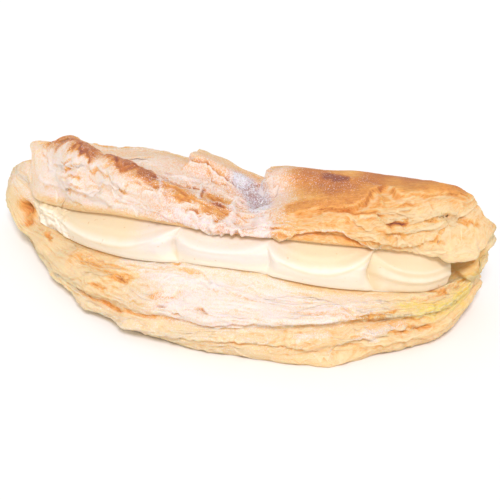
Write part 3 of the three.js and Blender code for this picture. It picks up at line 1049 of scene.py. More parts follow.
class Half(Enum):
    """The two halves of the pastry, which meet inside the mouth and in the middle of the fold."""

    UPPER = "pastry_upper"
    LOWER = "pastry_lower"


@dataclass(frozen=True)
class Sheets:
    """Thin sheets whose torn edges show, as a sawtooth over a phase that wanders.

    With a pitch the phase runs along the section, so the edges follow the layers. Without one it follows the
    wandering alone, so the edges close round flakes.
    """

    pitch: float | None
    depth: float
    swell: tuple[float, float]
    swing: float
    edge: float


@dataclass
class Pastry:
    """The crust: the smooth body under folds, torn edges, layers and grains, as two closed halves."""

    form: TurnoverForm
    front_columns: int = 560
    evenness: float = 0.35
    split: float = 7.0
    upper_rows: tuple[int, ...] = (44, 22, 18, 9, 10, 8, 5)
    lower_rows: tuple[int, ...] = (4, 6, 8, 24, 19, 13, 14, 16, 8, 5)
    crest_height: float = 3.0
    valley_depth: float = 2.4
    dome_height: float = 2.4
    back_flake_height: float = 4.2
    right_flake_height: float = 4.6
    pale_side_depth: float = 1.6
    ledge_height: float = 3.4
    arch_depth: float = 1.5
    groove_depth: float = 1.3
    bottom_sheet_height: float = 1.2
    crease_fill: float = 1.5
    layer_wave: float = 0.6
    length_wave: float = 0.45
    sheets: tuple[Sheets, ...] = (
        Sheets(3.6, 0.5, (30.0, 15.0), 1.2, 0.14),
        Sheets(1.7, 0.3, (26.0, 8.0), 1.2, 0.28),
        Sheets(None, 0.42, (20.0, 9.0), 2.6, 0.16),
        Sheets(None, 0.26, (8.0, 4.5), 2.6, 0.22),
    )
    crumple: float = 0.22
    crumple_size: float = 5.0
    swell: float = 0.45
    swell_size: float = 15.0
    wander: float = 0.9
    wander_size: float = 4.0
    inset: float = 0.35
    calm: float = 0.65
    shoulder_drop: float = 1.4
    left_tuck: float = 1.7
    grain: Grain = field(default_factory=lambda: Grain(4))

    def angles(self) -> Array:
        """Plan angles of the columns: the front from left to right, then half as many along the back.

        Returns:
            The angles, closer together at the ends of the plan.
        """
        back_columns = self.front_columns // 2
        front = math.pi * (np.arange(self.front_columns) / self.front_columns - 1.0)
        back = math.pi * np.arange(back_columns) / back_columns
        turn = np.concatenate([front, back])
        return turn + 0.5 * self.evenness * np.sin(2.0 * turn)

    def places(self, half: Half) -> Array:
        """Places of a half's rows, evenly spread between each pair of landmarks.

        Args:
            half: which half.

        Returns:
            The places, counted in landmarks.
        """
        counts = self.upper_rows if half is Half.UPPER else self.lower_rows
        first = 0.0 if half is Half.UPPER else self.split
        rows = [first + k + np.arange(n) / n for k, n in enumerate(counts)]
        return np.concatenate([*rows, [first + len(counts)]])

    def upper_relief(self, x: Array, y: Array) -> Array:
        """Crest, valley and dome as hills over the plan, and two flakes with sharp left edges.

        The crest runs along a parabola, and sines tear the flakes' edges. Numbers are millimetres on the
        plan, where a soft step starts and is full, or where a hill has its middle and how wide it is.

        Args:
            x: places along X.
            y: places along Y.

        Returns:
            Millimetres out from the body.
        """
        line = -25.5 + 0.0085 * (x + 3.0) ** 2
        span = smooth(-82, -68, x) * smooth(4, -8, x)
        width = np.where(y < line, 3.5, 6.0) * (1.0 + smooth(-48, -66, x))
        crest = self.crest_height * (1.0 + 0.7 * hill(x + 66, 11)) * hill(y - line, width) * span
        valley = -self.valley_depth * hill(x - 4, 7) * smooth(2, -10, y)
        dome = self.dome_height * hill(x - 30, 15) * hill(y + 3, 12)
        torn = x + 0.9 * np.sin(1.3 * y) + 0.5 * np.sin(2.9 * y + 1.0)
        back_flake = smooth(-22, -20.6, torn) * smooth(5, -16, x) * smooth(-6, 0, y) * smooth(13, 6, y)
        right_flake = smooth(3.5, 5, torn) * smooth(28, 8, x) * smooth(-8, -3, y) * smooth(13, 5, y)
        relief = crest + valley + dome
        relief += self.back_flake_height * back_flake
        relief += self.right_flake_height * right_flake
        return relief

    def side_relief(self, x: Array, place: Array, opened: Array) -> Array:
        """Ledges of the pale layers, the arched lip, and the roll's groove, sheet and filled crease.

        Numbers are millimetres along X or landmarks, where a soft step starts and is full, or where a hill
        has its middle and how wide it is.

        Args:
            x: places along X.
            place: places along the sections, counted in landmarks.
            opened: how far the mouth is open there, from 0 to 1.

        Returns:
            Millimetres out from the body.
        """
        brown_edge = mix(1.75, 0.7, smooth(36, 44, x)) + 0.8 * smooth(44, 52, x) + 0.3 * smooth(54, 66, x)
        pale = -self.pale_side_depth * smooth(brown_edge, brown_edge + 0.2, place) * smooth(14, 24, x)
        ledge_line = 2.28 + 0.45 * smooth(58, 70, x)
        ledge = self.ledge_height * smooth(ledge_line, ledge_line + 0.25, place) * smooth(36, 46, x)
        arch_line = 4.0 - 1.1 * hill(x - 30, 11)
        under_arch = smooth(arch_line, arch_line + 0.25, place) * smooth(12, 18, x) * smooth(52, 46, x)
        upper = (pale + ledge - self.arch_depth * under_arch) * smooth(4.3, 3.9, place) * opened
        groove = -self.groove_depth * hill(place - (14.4 - 0.018 * (x - 30)), 0.16) * smooth(24, 32, x)
        sheet = smooth(14.55, 14.75, place) * smooth(15.6, 15.2, place)
        sheet = sheet * smooth(14, 26, x) * smooth(50, 40, x)
        filled = self.crease_fill * hill(place - 13.0, 0.7) * smooth(-40, -54, x) * smooth(-82, -68, x)
        tuck = -self.left_tuck * hill(place - 14.4, 0.9) * smooth(-48, -60, x)
        tip = self.bottom_sheet_height * (1.0 + 1.8 * hill(x - 34, 6)) * sheet
        return upper + groove + tip + filled + tuck

    def layering(self, points: Array, run: Array, standing: Array) -> tuple[Array, Array]:
        """Torn edges of all the thin sheets: each rises slowly to its edge and drops at once to the next.

        Args:
            points: places on the body.
            run: lengths on the chart.
            standing: how far the crust stands up there, from 0 to 1, so that its layers show from the side.

        Returns:
            Millimetres out from the body, and painted shade under each edge, less a painted highlight along
            its top.
        """
        relief = np.zeros(run.size)
        seam = np.zeros(run.size)
        for k, sheet in enumerate(self.sheets):
            stretched = np.stack([points[:, 0], run, points[:, 1]], axis=1) + 400.0 * k
            wide, high = sheet.swell
            phase = sheet.swing * self.grain.at(stretched, (wide, high, wide))
            finer = (0.35 * wide, 0.4 * high, 0.35 * wide)
            phase += 0.3 * sheet.swing * self.grain.at(stretched + 70.0, finer)
            if sheet.pitch:
                phase += run / sheet.pitch
            tooth = np.mod(phase, 1.0)
            saw = smooth(0.0, 1.0 - sheet.edge, tooth) * smooth(1.0, 1.0 - sheet.edge, tooth) - 0.4
            patch = smooth(-0.35, 0.45, self.grain.at(stretched + 91.0, (18.0, high, 18.0)))
            depth = sheet.depth * patch * (standing if sheet.pitch else 1.0)
            relief += depth * saw
            # Painted shade under each edge, less a painted highlight just before it
            under = np.maximum(smooth(1.0 - 0.6 * sheet.edge, 1.0, tooth), hill(tooth, 0.8 * sheet.edge))
            seam += depth * (under - 0.5 * hill(tooth - 1.0 + 1.4 * sheet.edge, 0.8 * sheet.edge))
        return relief, seam

    def skin(self, half: Half) -> tuple[Skin, Array, Array]:
        """The vertices of a half with all their relief and colour.

        Args:
            half: which half.

        Returns:
            The skin, the outward directions, and the chart places for the layers' pattern.
        """
        form = self.form
        angle = self.angles()
        place = self.places(half)
        shape = (angle.size, place.size)
        points = form.grid(angle, place).reshape(-1, 3)
        outward = form.outward(form.grid, angle, place, step=0.02).reshape(-1, 3)
        rows = np.broadcast_to(place, shape).ravel()
        # Straight up at the spine and straight down at the middle of the underside
        outward = unit(mix(outward, UP, smooth(0.8, 0.0, rows)[:, None]))
        outward = unit(mix(outward, -UP, smooth(16.2, 17.0, rows)[:, None]))
        turn = np.broadcast_to(angle[:, None], shape).ravel()
        return self.weathered(points, turn, rows), outward, form.chart_places(points, turn, rows)

    def weathered(self, points: Array, angle: Array, rows: Array) -> Skin:
        """Relief and colour of points on the smooth body.

        Args:
            points: places on the body.
            angle: their plan angles.
            rows: their places along the sections, counted in landmarks.

        Returns:
            The skin there.
        """
        form = self.form
        opened = form.mouth(angle)
        behind = mix(0.5, smooth(-0.12, 0.12, np.sin(angle)), smooth(0.0, 0.6, rows))
        run = form.chart_length(rows)
        x, y, _ = points.T
        in_mouth = smooth(3.4, 3.95, rows) * smooth(10.5, 10.05, rows) * opened
        side = smooth(0.1, 0.8, rows)
        bare = (1.0 - in_mouth) * (1.0 - smooth(15, 16, rows))
        waves = self.layer_wave * np.sin(0.05 * x + 2.1 * rows)
        waves += self.length_wave * np.sin(0.24 * x - 0.2 * y + 0.5 * rows)
        waves = waves * smooth(-94, -78, x) * smooth(1.2, 2.4, rows)
        relief = smooth(3.4, 2.2, rows) * self.upper_relief(x, y)
        relief += side * (self.side_relief(x, rows, opened) + waves)
        standing = (smooth(2.0, 3.0, rows) + 0.25 * smooth(3.0, 2.0, rows)) * side
        layered, seam = self.layering(points, run, standing)
        dome = smooth(2.2, 1.5, rows) * smooth(6, 18, x)
        face = smooth(0, -14, x) * smooth(4.2, 3.8, rows) * (1.0 - behind)
        wall = smooth(38, 48, x) * smooth(1.8, 2.4, rows) * smooth(5, 4, rows) * (1.0 - behind)
        rough = 1.0 - self.calm * np.maximum(np.maximum(dome, 0.75 * face), 0.7 * wall)
        relief += side * rough * layered
        relief += self.crumple * rough * self.grain.layered(points, self.crumple_size)
        swells = self.swell * rough * self.grain.layered(points + 300.0, self.swell_size, 2)
        relief += (swells - self.inset) * side
        relief -= self.shoulder_drop * smooth(60, 74, x) * smooth(3.4, 2.2, rows)
        shifts = (0.0, 150.0, 230.0)
        wander = np.stack([self.grain.layered(points + k, self.wander_size) for k in shifts], axis=1)
        toast, dust = self.tint(x, run, rows, behind, in_mouth)
        stain = np.zeros(len(points))
        seam = seam * side * bare * rough
        skin = Skin(points, self.wander * wander, relief * bare, toast, dust, stain, seam)
        strewn = [mark for flaking in FLAKINGS for mark in flaking.marks()]
        for mark in (*UPPER_MARKS, *LOWER_MARKS, *strewn):
            mark.apply(skin, form)
        skin.relief *= 1.0 - smooth(15.2, 16, rows)
        # The painted highlights stay faint
        skin.seam = skin.seam.clip(-0.25, 1.0)
        return skin

    def tint(self, x: Array, run: Array, rows: Array, behind: Array, in_mouth: Array) -> tuple[Array, Array]:
        """Slow changes of colour before the marks, as soft steps along X and from layer to layer.

        Args:
            x: places along X.
            run: lengths on the chart.
            rows: places along the sections, counted in landmarks.
            behind: how far a point lies on the back, from 0 to 1.
            in_mouth: how far it lies in the mouth, from 0 to 1.

        Returns:
            How far the crust is toasted, and how much sugar lies on it.
        """
        over = smooth(66, 56, run)
        belly = smooth(114, 110, run)
        upper_toast = 0.28 + 0.3 * smooth(-46, -16, x) - 0.22 * smooth(0, 26, x)
        upper_toast += 0.07 * smooth(60, 70, x) - 0.16 * smooth(42, 62, x)
        belly_toast = 0.17 - 0.04 * smooth(-30, -55, x) - 0.13 * smooth(15, 50, x)
        roll_toast = 0.06 + 0.18 * smooth(-30, 40, x)
        toast = mix(mix(roll_toast, belly_toast, belly), upper_toast, over)
        toast = mix(toast, 0.3 - 0.2 * smooth(50, 62, x), in_mouth) + 0.2 * smooth(15, 16, rows)
        upper_dust = (0.6 + 0.1 * smooth(-84, -70, x) - 0.1 * hill(x + 14, 22.0)) * smooth(26, 8, x)
        belly_dust = 0.1 + 0.52 * smooth(-46, -14, x) * smooth(62, 38, x)
        roll_dust = 0.32 * smooth(50, 0, x) * smooth(-84, -40, x)
        dust = mix(mix(roll_dust, belly_dust, belly), upper_dust, over) * (1.0 - 0.85 * in_mouth)
        cheek = smooth(-74, -82, x) * smooth(12.0, 8.0, rows)
        toast = mix(toast, 0.22, 0.8 * cheek)
        dust = mix(dust, 0.5, cheek)
        back_toast = 0.3 + 0.25 * smooth(3.0, 1.0, rows) * smooth(-40, 30, x)
        toast = mix(toast, back_toast, behind * (1.0 - smooth(15, 16, rows)))
        dust = mix(dust, 0.6 * upper_dust * smooth(4.5, 1.5, rows), behind)
        return toast, dust * (1.0 - smooth(14.5, 15.5, rows))

    def build(self, half: Half, material: bpy.types.Material) -> bpy.types.Object:
        """Makes one closed half: its skin, and a wall inside the pastry from the skin's rim to the spine.

        Columns of the front and the back share the vertices on the spine, where the front has two columns
        for each of the back's, so the faces beside the spine have five corners on the back.

        Args:
            half: which half.
            material: the finish.

        Returns:
            The piece.
        """
        skin, outward, chart = self.skin(half)
        angle = self.angles()
        place = self.places(half)
        columns = angle.size
        placed = skin.points + outward * skin.relief[:, None]
        placed[:, 2] = placed[:, 2].clip(0.0)
        placed = placed.reshape(columns, -1, 3)
        rim = placed[:, -1 if half is Half.UPPER else 0]
        wall = self.form.lay(angle, np.zeros(columns), rim[:, 2])[:, None]
        amounts = {"toast": skin.toast, "dust": skin.dust, "stain": skin.stain, "seam": skin.seam}
        per_vertex = np.stack([*amounts.values(), *chart.T], axis=1).reshape(columns, place.size, -1)
        if half is Half.UPPER:
            placed = np.concatenate([placed, wall], axis=1)
            per_vertex = np.concatenate([per_vertex, per_vertex[:, -1:]], axis=1)
        else:
            placed = np.concatenate([wall, placed], axis=1)
            per_vertex = np.concatenate([per_vertex[:, :1], per_vertex], axis=1)
        rows = placed.shape[1]
        front = self.front_columns
        numbers = np.arange(columns * rows).reshape(columns, rows)
        shared = front - 2 * np.arange(1, columns - front)
        numbers[front + 1:, 0] = numbers[shared, 0]
        numbers[front + 1:, -1] = numbers[shared, -1]
        quads, fives = self.faces(numbers)
        used, renumbered = np.unique(numbers, return_inverse=True)
        lookup = np.zeros(columns * rows, dtype=int)
        lookup[numbers.ravel()] = renumbered.ravel()
        kept = per_vertex.reshape(-1, per_vertex.shape[-1])[used]
        values = {key: kept[:, k] for k, key in enumerate(amounts)}
        points = placed.reshape(-1, 3)[used]
        piece = lay_mesh(half.value, points, [lookup[quads], lookup[fives]], values, kept[:, -2:], material)
        rim_row = rows - 2 if half is Half.UPPER else 1
        self.crisp_rim(piece.data, lookup[numbers[:, rim_row]])
        return piece

    def faces(self, numbers: Array) -> tuple[Array, Array]:
        """Corner numbers of the faces between the columns and rows.

        Args:
            numbers: vertex numbers by column and row, where the first and the last row lie on the spine.

        Returns:
            The four-cornered faces, and the five-cornered ones beside the spine on the back.
        """
        front = self.front_columns
        around = strips(numbers, np.roll(numbers, -1, axis=0))
        back = slice(front, None)
        quads = np.concatenate([around[:front].reshape(-1, 4), around[back, 1:-1].reshape(-1, 4)])
        between = numbers[front - 1 - 2 * np.arange(len(numbers) - front)]
        first = around[back, 0]
        last = around[back, -1]
        fives = np.concatenate([
            np.stack([first[:, 0], first[:, 1], first[:, 2], first[:, 3], between[:, 0]], axis=1),
            np.stack([last[:, 0], last[:, 1], between[:, -1], last[:, 2], last[:, 3]], axis=1),
        ])
        return quads, fives

    def crisp_rim(self, mesh: bpy.types.Mesh, rim: Array) -> None:
        """Keeps the hidden wall from bending the shading of the skin: edges along the rim are sharp.

        Args:
            mesh: the half's mesh.
            rim: numbers of the vertices on the rim.
        """
        ends = np.empty(2 * len(mesh.edges), dtype=np.int32)
        mesh.edges.foreach_get("vertices", ends)
        on_rim = np.isin(ends, rim).reshape(-1, 2).all(axis=1)
        sharp = mesh.attributes.new("sharp_edge", "BOOLEAN", "EDGE")
        sharp.data.foreach_set("value", on_rim)


@dataclass(frozen=True)
class FlakeField:
    """A stretch of the crust that loose flakes are drawn over, with the spans of their sizes."""

    seed: int
    count: int
    x_span: tuple[float, float]
    chart_span: tuple[float, float]
    length: tuple[float, float]
    width: tuple[float, float]
    lift: tuple[float, float]
    turn: float = 0.25
    back: bool = False


@dataclass
class Flakes:
    """Thin sheets loose at one edge, whose roots lie in the crust and whose free edges stand off it."""

    pastry: Pastry
    along: int = 15
    across: int = 6
    thickness: float = 0.28
    bury: float = 0.3
    clearance: float = 0.02
    turned_round: float = 0.3
    raggedness: float = 0.3
    sharp_from: float = 50.0
    fields: tuple[FlakeField, ...] = (
        FlakeField(31, 20, (-70, -6), (22, 33), (4, 11), (1.4, 3.0), (0.2, 0.6)),
        FlakeField(32, 12, (-60, 8), (6, 20), (4, 12), (2, 4), (0.2, 0.6), turn=1.2),
        FlakeField(33, 18, (40, 72), (26, 34), (5, 14), (1.0, 2.2), (0.3, 0.8), turn=0.15),
        FlakeField(34, 40, (-62, 62), (93, 110), (5, 18), (1.0, 2.4), (0.15, 0.45), turn=0.12),
        FlakeField(35, 40, (-50, 60), (113, 123), (6, 22), (1.0, 2.4), (0.15, 0.45), turn=0.1),
        FlakeField(36, 60, (-64, 54), (30, 120), (8, 26), (2, 5), (0.4, 1.1), back=True),
    )

    def sheet(self, stretch: FlakeField) -> tuple[Array, Array, Array]:
        """Chart places of a field's flakes, their lift and their shade.

        Over a flake, a runs from -1 to 1 along it and b from 0 at its root to 1 at its free edge, whose
        distance from the root is a rounded, ragged function of a. The lift grows with b to the power 1.5.

        Args:
            stretch: the field.

        Returns:
            Chart places by flake, a and b; lifts in millimetres; and shades, which are added to the toast.
        """
        draw = np.random.default_rng(stretch.seed)
        n = (stretch.count, 1, 1)
        x, s, length, width, lift = (draw.uniform(*span, n) for span in (
            stretch.x_span, stretch.chart_span, stretch.length, stretch.width, stretch.lift))
        turn = draw.normal(0.0, stretch.turn, n) + math.pi * (draw.uniform(size=n) < self.turned_round)
        a = np.linspace(-1.0, 1.0, self.along)[None, :, None]
        b = np.linspace(0.0, 1.0, self.across)[None, None, :]
        knots = 7
        between = curve_weights(np.linspace(0.0, knots - 1.0, self.along), knots)
        ragged = between @ draw.normal(0.0, self.raggedness, (knots, stretch.count))
        edge = np.clip(1.0 + ragged.T[:, :, None], 0.3, 1.8)
        depth = width * (0.12 + (1.0 - np.abs(a) ** 2.4) ** 0.6 * edge)
        sense = -1.0 if stretch.back else 1.0
        along_x = -sense * np.cos(turn)
        along_s = sense * np.sin(turn)
        across_x = np.sin(turn)
        across_s = np.cos(turn)
        bow = 0.12 * length * draw.normal(0.0, 1.0, n) * (1.0 - a * a)
        out = depth * (b - 0.35) + bow
        places = np.stack([
            x + 0.5 * length * a * along_x + out * across_x,
            s + 0.5 * length * a * along_s + out * across_s], axis=-1)
        curl = lift * (0.6 + 0.4 * np.sin(2.5 * a + 6.0 * draw.uniform(size=n)))
        lifts = -self.bury + (curl + self.bury) * b**1.5
        # A random tone for each flake, paler towards its free edge as a painted highlight
        shades = np.broadcast_to(draw.uniform(-0.1, 0.1, n) - 0.06 * b, lifts.shape)
        return places, lifts, shades

    def build(self, material: bpy.types.Material) -> bpy.types.Object:
        """Makes all flakes as closed sheets: rings round the section, joined along the flake and capped.

        Args:
            material: the finish.

        Returns:
            The piece.
        """
        made = [self.sheet(stretch) for stretch in self.fields]
        places, lifts, shades = (np.concatenate(parts) for parts in zip(*made))
        behind = np.repeat([f.back for f in self.fields], [f.count for f in self.fields])
        run = places.reshape(-1, 2)
        form = self.pastry.form
        back = np.repeat(behind, self.along * self.across)
        angle, place = form.locate(run, back)
        spots = form.spots(angle, place)
        skin = self.pastry.weathered(spots, angle, place)
        outward = form.outward(form.spots, angle, place)
        top = spots + outward * (skin.relief + lifts.ravel())[:, None]
        free = np.broadcast_to(np.linspace(0.0, 1.0, self.across), lifts.shape).ravel()
        under = top - outward * (self.thickness * (1.0 - 0.5 * free))[:, None]
        top[:, 2] = top[:, 2].clip(self.thickness)
        under[:, 2] = under[:, 2].clip(self.clearance)
        shape = (-1, self.along, self.across)
        rings = np.concatenate([top.reshape(*shape, 3), under.reshape(*shape, 3)[:, :, ::-1]], axis=2)
        # Painted shade at each flake's root, and a painted highlight at its free edge
        amounts = {
            "toast": (skin.toast + shades.ravel()).clip(0.02, 1.0), "dust": skin.dust * (0.7 + 0.3 * free),
            "stain": skin.stain, "seam": 0.3 - 0.6 * free}
        doubled = {key: self.ring(values.reshape(shape)) for key, values in amounts.items()}
        chart = form.chart_places(spots, angle, place)
        chart = np.stack([self.ring(chart[:, k].reshape(shape)) for k in (0, 1)], axis=1)
        numbers = np.arange(rings.shape[0] * rings.shape[1] * rings.shape[2]).reshape(rings.shape[:3])
        quads = strips(numbers, np.roll(numbers, -1, axis=2)).reshape(-1, 4)
        caps = np.concatenate([numbers[:, 0], numbers[:, -1, ::-1]])
        piece = lay_mesh("flakes", rings.reshape(-1, 3), [quads, caps], doubled, chart, material)
        piece.data.set_sharp_from_angle(angle=math.radians(self.sharp_from))
        return piece

    def ring(self, values: Array) -> Array:
        """Values of the top repeated for the underside, in the order of the rings."""
        return np.concatenate([values, values[:, :, ::-1]], axis=2).ravel()


@dataclass(frozen=True)
class Lobe:
    """One swell of the piped rope, between two places along X.

    The crest's heights are shares of the mouth's height at even stations from the start to the end. A bowed
    end is drawn in at half its height. A blunt end rises at once, and another slowly. A second, lower ridge
    stands a share of the way from the crest to the lip, or under the crest where that share is below zero.
    """

    start: float
    end: float
    bulge: float
    crest: tuple[float, ...]
    start_bow: float = 0.0
    end_bow: float = 0.0
    blunt_start: bool = False
    blunt_end: bool = True
    second: float = 0.5


@dataclass
class Cream:
    """The piped rope of cream, from its crinkled start at the left cheek to its cut end at the right."""

    form: TurnoverForm
    span: tuple[float, float] = (-77.0, 66.0)
    end_round: float = 4.0
    front: float = 0.66
    core_ahead: float = 0.07
    lean: float = 0.06
    bed: float = 0.3
    columns: int = 440
    rows: tuple[int, ...] = (2, 2, 2, 4, 26, 26, 26, 26, 4, 2, 2)
    crease_depth: float = 4.2
    scoop_depth: float = 3.0
    scoop_top: float = 1.05
    second_height: float = 0.9
    blunt_rise: float = 0.12
    blunt_fall: float = 0.1
    slow_rise: float = 0.42
    softness: float = 0.12
    end_rings: int = 8
    lip_gap: float = 0.3
    back_gap: float = 0.04
    face_from: float = 4.0
    face_spans: float = 4.0
    ruffle: float = 1.7
    ruffle_size: float = 4.0
    unevenness: float = 0.08
    uneven_size: float = 3.0
    sugar: float = 0.75
    lobes: tuple[Lobe, ...] = (
        Lobe(-80.0, -15.5, 4.4, (0.85, 0.66, 0.42, 0.5, 1.0), end_bow=2.6),
        Lobe(-20.0, 17.0, 3.4, (0.85, 0.68, 0.67, 0.8, 1.0), blunt_end=False),
        Lobe(10.5, 45.5, 4.6, (0.9, 0.6, 0.5, 0.62, 1.0), start_bow=2.0, end_bow=3.0, blunt_start=True),
        Lobe(41.0, 88.0, 3.6, (0.95, 0.62, 0.6, 0.6, 0.6), blunt_end=False, second=-0.42),
    )
    right_warmth: float = 0.14
    grain: Grain = field(default_factory=lambda: Grain(9))

    def swells(self, x: Array, h: Array) -> tuple[Array, Array]:
        """How far the lobes stand out, as the greatest of all lobes at each point.

        In a lobe a ridge hangs between the two ends like a smile. Under it the cream is full, as the root of
        the height, and above it the cream is scooped back, with a second, low ridge.

        Args:
            x: places along X.
            h: shares of the mouth's height.

        Returns:
            Millimetres out from the rope's front, and the painted shade there, from 0 to 1: full in the
            creases between lobes and in the scoops above the crests, faint just under each crest.
        """
        out = np.full(x.shape, -self.crease_depth)
        hollow = np.ones(x.shape)
        bowed = np.sin(math.pi * np.clip(h, 0.0, 1.0))
        for lobe in self.lobes:
            start = lobe.start + lobe.start_bow * bowed
            end = lobe.end - lobe.end_bow * bowed
            inside = np.clip((x - start) / (end - start), 0.0, 1.0)
            rise_span = self.blunt_rise if lobe.blunt_start else self.slow_rise
            fall_span = self.blunt_fall if lobe.blunt_end else self.slow_rise
            rise = np.clip(inside / rise_span, 0.0, 1.0)
            fall = np.clip((1.0 - inside) / fall_span, 0.0, 1.0)
            swell = np.sqrt(1.0 - (1.0 - rise) ** 2) * np.sqrt(1.0 - (1.0 - fall) ** 2)
            stations = curve_weights(inside * (len(lobe.crest) - 1), len(lobe.crest))
            crest = (stations @ np.array(lobe.crest)).reshape(x.shape)
            risen = np.clip(h, 0.0, 1.0) / crest - 1.0
            fullness = np.clip(1.0 + (risen - np.hypot(risen, self.softness)) / 2.0, 0.0, 1.0)
            below = lobe.bulge * fullness ** 0.5
            past = (h - crest) / (self.scoop_top - crest)
            above = np.clip((past + np.hypot(past, self.softness)) / 2.0, 0.0, 1.0)
            scoop = below * (1.0 - (1.0 - above) ** 1.7) + self.scoop_depth * above
            room = self.scoop_top - crest if lobe.second > 0 else crest
            second = self.second_height * hill((h - crest) / room - lobe.second, 0.14)
            stand = (below - scoop + second + self.crease_depth) * swell - self.crease_depth
            # Painted shade: full in the scoop above the crest, faint in a band just under it, and full in
            # the creases between lobes
            dimmed = np.maximum(above, 0.16 * hill(h - crest + 0.08, 0.06))
            hollow = np.where(stand > out, mix(1.0, dimmed, smooth(0.0, 0.75, swell)), hollow)
            out = np.maximum(out, stand)
        return out, hollow

    def loops(self, angle: Array) -> tuple[Array, Array, Array, Array]:
        """Landmarks of the rope's sections: over the mouth's floor, up the front and back under the roof.

        Args:
            angle: plan angles, one for each section.

        Returns:
            Reaches and heights, one row a section and one column a landmark, and those of the cores.
        """
        reach, height = self.form.section(angle)
        roof, roof_back, back, floor_back, floor, lip = range(5, 11)
        lowest = height[:, lip] + self.lip_gap
        highest = height[:, roof] + self.bed
        middle = (lowest + highest) / 2.0
        face = reach[:, lip]
        behind = reach[:, back] + self.back_gap
        top = np.minimum(reach[:, roof], face - self.lean)
        half_floor = (reach[:, floor_back] + reach[:, floor]) / 2.0
        half_roof = (reach[:, roof_back] + top) / 2.0
        floor_height = (height[:, floor_back] + height[:, floor]) / 2.0
        roof_height = (height[:, roof_back] + height[:, roof]) / 2.0
        reaches = np.stack([
            behind, reach[:, floor_back], half_floor, reach[:, floor], face, face, face, face - 0.01, top,
            half_roof, reach[:, roof_back], behind], axis=1)
        heights = np.stack([
            middle, height[:, floor_back] - self.bed, floor_height - self.bed, height[:, floor] - self.bed,
            lowest, mix(lowest, highest, 0.25), middle, mix(lowest, highest, 0.75), highest,
            roof_height + self.bed, height[:, roof_back] + self.bed, middle], axis=1)
        return reaches, heights, (reach[:, back] + face) / 2.0 + self.core_ahead, middle

    def build(self, material: bpy.types.Material) -> bpy.types.Object:
        """Makes the closed rope: rings that follow the mouth, rounded at the left and cut at the right.

        Args:
            material: the finish.

        Returns:
            The piece.
        """
        cap = self.end_rings
        x = np.concatenate([np.linspace(*self.span, self.columns), np.full(cap, self.span[1])])
        left = np.clip((x - self.span[0]) / self.end_round, 0.0, 1.0)
        full = np.sqrt(1.0 - (1.0 - left) ** 2)
        full[-cap:] = 1.0 - np.arange(1, cap + 1) / cap
        angle = self.form.front_angle(x / mix(self.form.spine_share, 1.0, self.front))
        loop_reach, loop_height, core, middle = self.loops(angle)
        place = np.concatenate([k + np.arange(n) / n for k, n in enumerate(self.rows)])
        weights = curve_weights(place, loop_reach.shape[1])
        h = np.broadcast_to((place - self.face_from) / self.face_spans, (x.size, place.size))
        across = np.broadcast_to(x[:, None], h.shape)
        out, hollow = self.swells(across, h)
        # A yellower tint towards the right, added to the painted shade
        hollow = hollow + self.right_warmth * smooth(34, 48, across)
        facing = (h > 0) & (h < 1)
        rim = np.sin(math.pi * np.clip(h, 0.0, 1.0)) ** 0.35
        out = np.where(facing, np.where(out < 0, out * rim, out), 0.0)
        ring_reach = mix(core[:, None], loop_reach @ weights.T + out / self.form.front_reach, full[:, None])
        ring_height = mix(middle[:, None], loop_height @ weights.T, full[:, None])
        points = self.form.lay(angle[:, None], ring_reach, ring_height)
        flat = points.reshape(-1, 3)
        ragged = smooth(-58, -68, flat[:, 0]) * (0.2 + facing.ravel())
        forward = np.array([0.0, -0.9, 0.4])
        flat = flat + forward * (self.ruffle * ragged * self.grain.layered(flat, self.ruffle_size))[:, None]
        uneven = self.unevenness * self.grain.layered(flat + 50.0, self.uneven_size)
        flat = flat + forward * uneven[:, None]
        dust = self.sugar * smooth(-44, -24, flat[:, 0]) * smooth(34, 8, flat[:, 0])
        dust = dust * smooth(0.1, 0.45, h.ravel())
        numbers = np.arange(flat.shape[0]).reshape(points.shape[:2])
        after = np.roll(numbers, -1, axis=1)
        quads = strips(numbers[None, 1:-1], after[None, 1:-1]).reshape(-1, 4)
        left_fan = np.stack([np.full(place.size, numbers[0, 0]), numbers[1], after[1]], axis=1)
        right_fan = np.stack([numbers[-2], np.full(place.size, numbers[-1, 0]), after[-2]], axis=1)
        kept = np.concatenate([[numbers[0, 0]], numbers[1:-1].ravel(), [numbers[-1, 0]]])
        lookup = np.zeros(numbers.size, dtype=int)
        lookup[kept] = np.arange(kept.size)
        amounts = {"hollow": hollow.ravel()[kept], "dust": dust[kept]}
        faces = [lookup[quads], lookup[left_fan], lookup[right_fan]]
        return lay_mesh("cream_rope", flat[kept], faces, amounts, None, material)


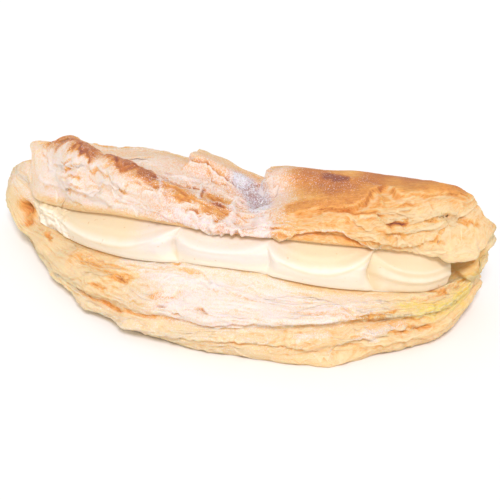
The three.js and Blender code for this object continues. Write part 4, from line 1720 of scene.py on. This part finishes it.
@dataclass(frozen=True)
class Studio:
    """The pale floor, soft light all round with a key from the camera's side, and the camera."""

    target: tuple[float, float, float] = (0.01185, -0.00237, 0.022)
    azimuth: float = 16.0
    elevation: float = 30.0
    distance: float = 0.535
    lens: float = 120.0
    floor_half: float = 2.0
    sky: float = 0.66
    key_from: tuple[float, float, float] = (0.2, -0.62, 0.76)
    key_angle: float = 16.0
    key_strength: float = 1.85
    key_tone: tuple[float, float, float] = (0.99, 1.0, 1.08)
    sky_tone: tuple[float, float, float, float] = (1.0, 0.96, 0.91, 1.0)

    def floor(self) -> None:
        """A flat floor under the object, as a coarse grid."""
        count = 9
        side = np.linspace(-self.floor_half, self.floor_half, count)
        x, y = np.meshgrid(side, side, indexing="ij")
        points = np.stack([x, y, np.zeros_like(x)], axis=-1).reshape(-1, 3)
        numbers = np.arange(count * count).reshape(count, count)
        quads = strips(numbers[1:], numbers[:-1]).reshape(-1, 4)
        mesh = bpy.data.meshes.new("floor")
        mesh.from_pydata(points.tolist(), [], quads.tolist())
        mesh.materials.append(FloorFinish().material())
        put("floor", mesh)

    def key_light(self) -> None:
        """A soft light from the camera's side and above, even over the whole floor."""
        lamp = bpy.data.lights.new("key", "SUN")
        lamp.angle = math.radians(self.key_angle)
        lamp.energy = self.key_strength
        lamp.color = self.key_tone
        rig = put("key", lamp)
        rig.location = self.key_from
        rig.rotation_euler = Vector(self.key_from).to_track_quat("Z", "Y").to_euler()

    def sky_light(self) -> None:
        """An even, slightly warm surround."""
        world = bpy.data.worlds.new("studio")
        world.use_nodes = True
        surround = world.node_tree.nodes["Background"]
        surround.inputs["Color"].default_value = self.sky_tone
        surround.inputs["Strength"].default_value = self.sky
        bpy.context.scene.world = world

    def camera(self) -> None:
        """The camera at the photograph's angle, aimed at the target."""
        a = math.radians(self.azimuth)
        e = math.radians(self.elevation)
        back = Vector((math.sin(a) * math.cos(e), -math.cos(a) * math.cos(e), math.sin(e)))
        lens = bpy.data.cameras.new("camera")
        lens.lens = self.lens
        lens.clip_start = 0.01
        eye = put("camera", lens)
        eye.location = Vector(self.target) + self.distance * back
        eye.rotation_euler = back.to_track_quat("Z", "Y").to_euler()
        bpy.context.scene.camera = eye

    def build(self) -> None:
        """Sets up floor, lights, surround, camera and a plain view of colours."""
        self.floor()
        self.key_light()
        self.sky_light()
        self.camera()
        bpy.context.scene.view_settings.view_transform = "Standard"


def main() -> None:
    """Builds the pieces in order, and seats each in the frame."""
    logging.basicConfig(level=logging.INFO, format="%(name)s %(message)s")
    form = TurnoverForm()
    crust = CrustFinish().material()
    pastry = Pastry(form)
    for half in Half:
        seat(pastry.build(half, crust), "pastry")
    seat(Flakes(pastry).build(CrustFinish(scatter=0.0).material()), "pastry")
    seat(Cream(form).build(CreamFinish().material()), "cream")
    Studio().build()


if __name__ == "__main__":
    main()
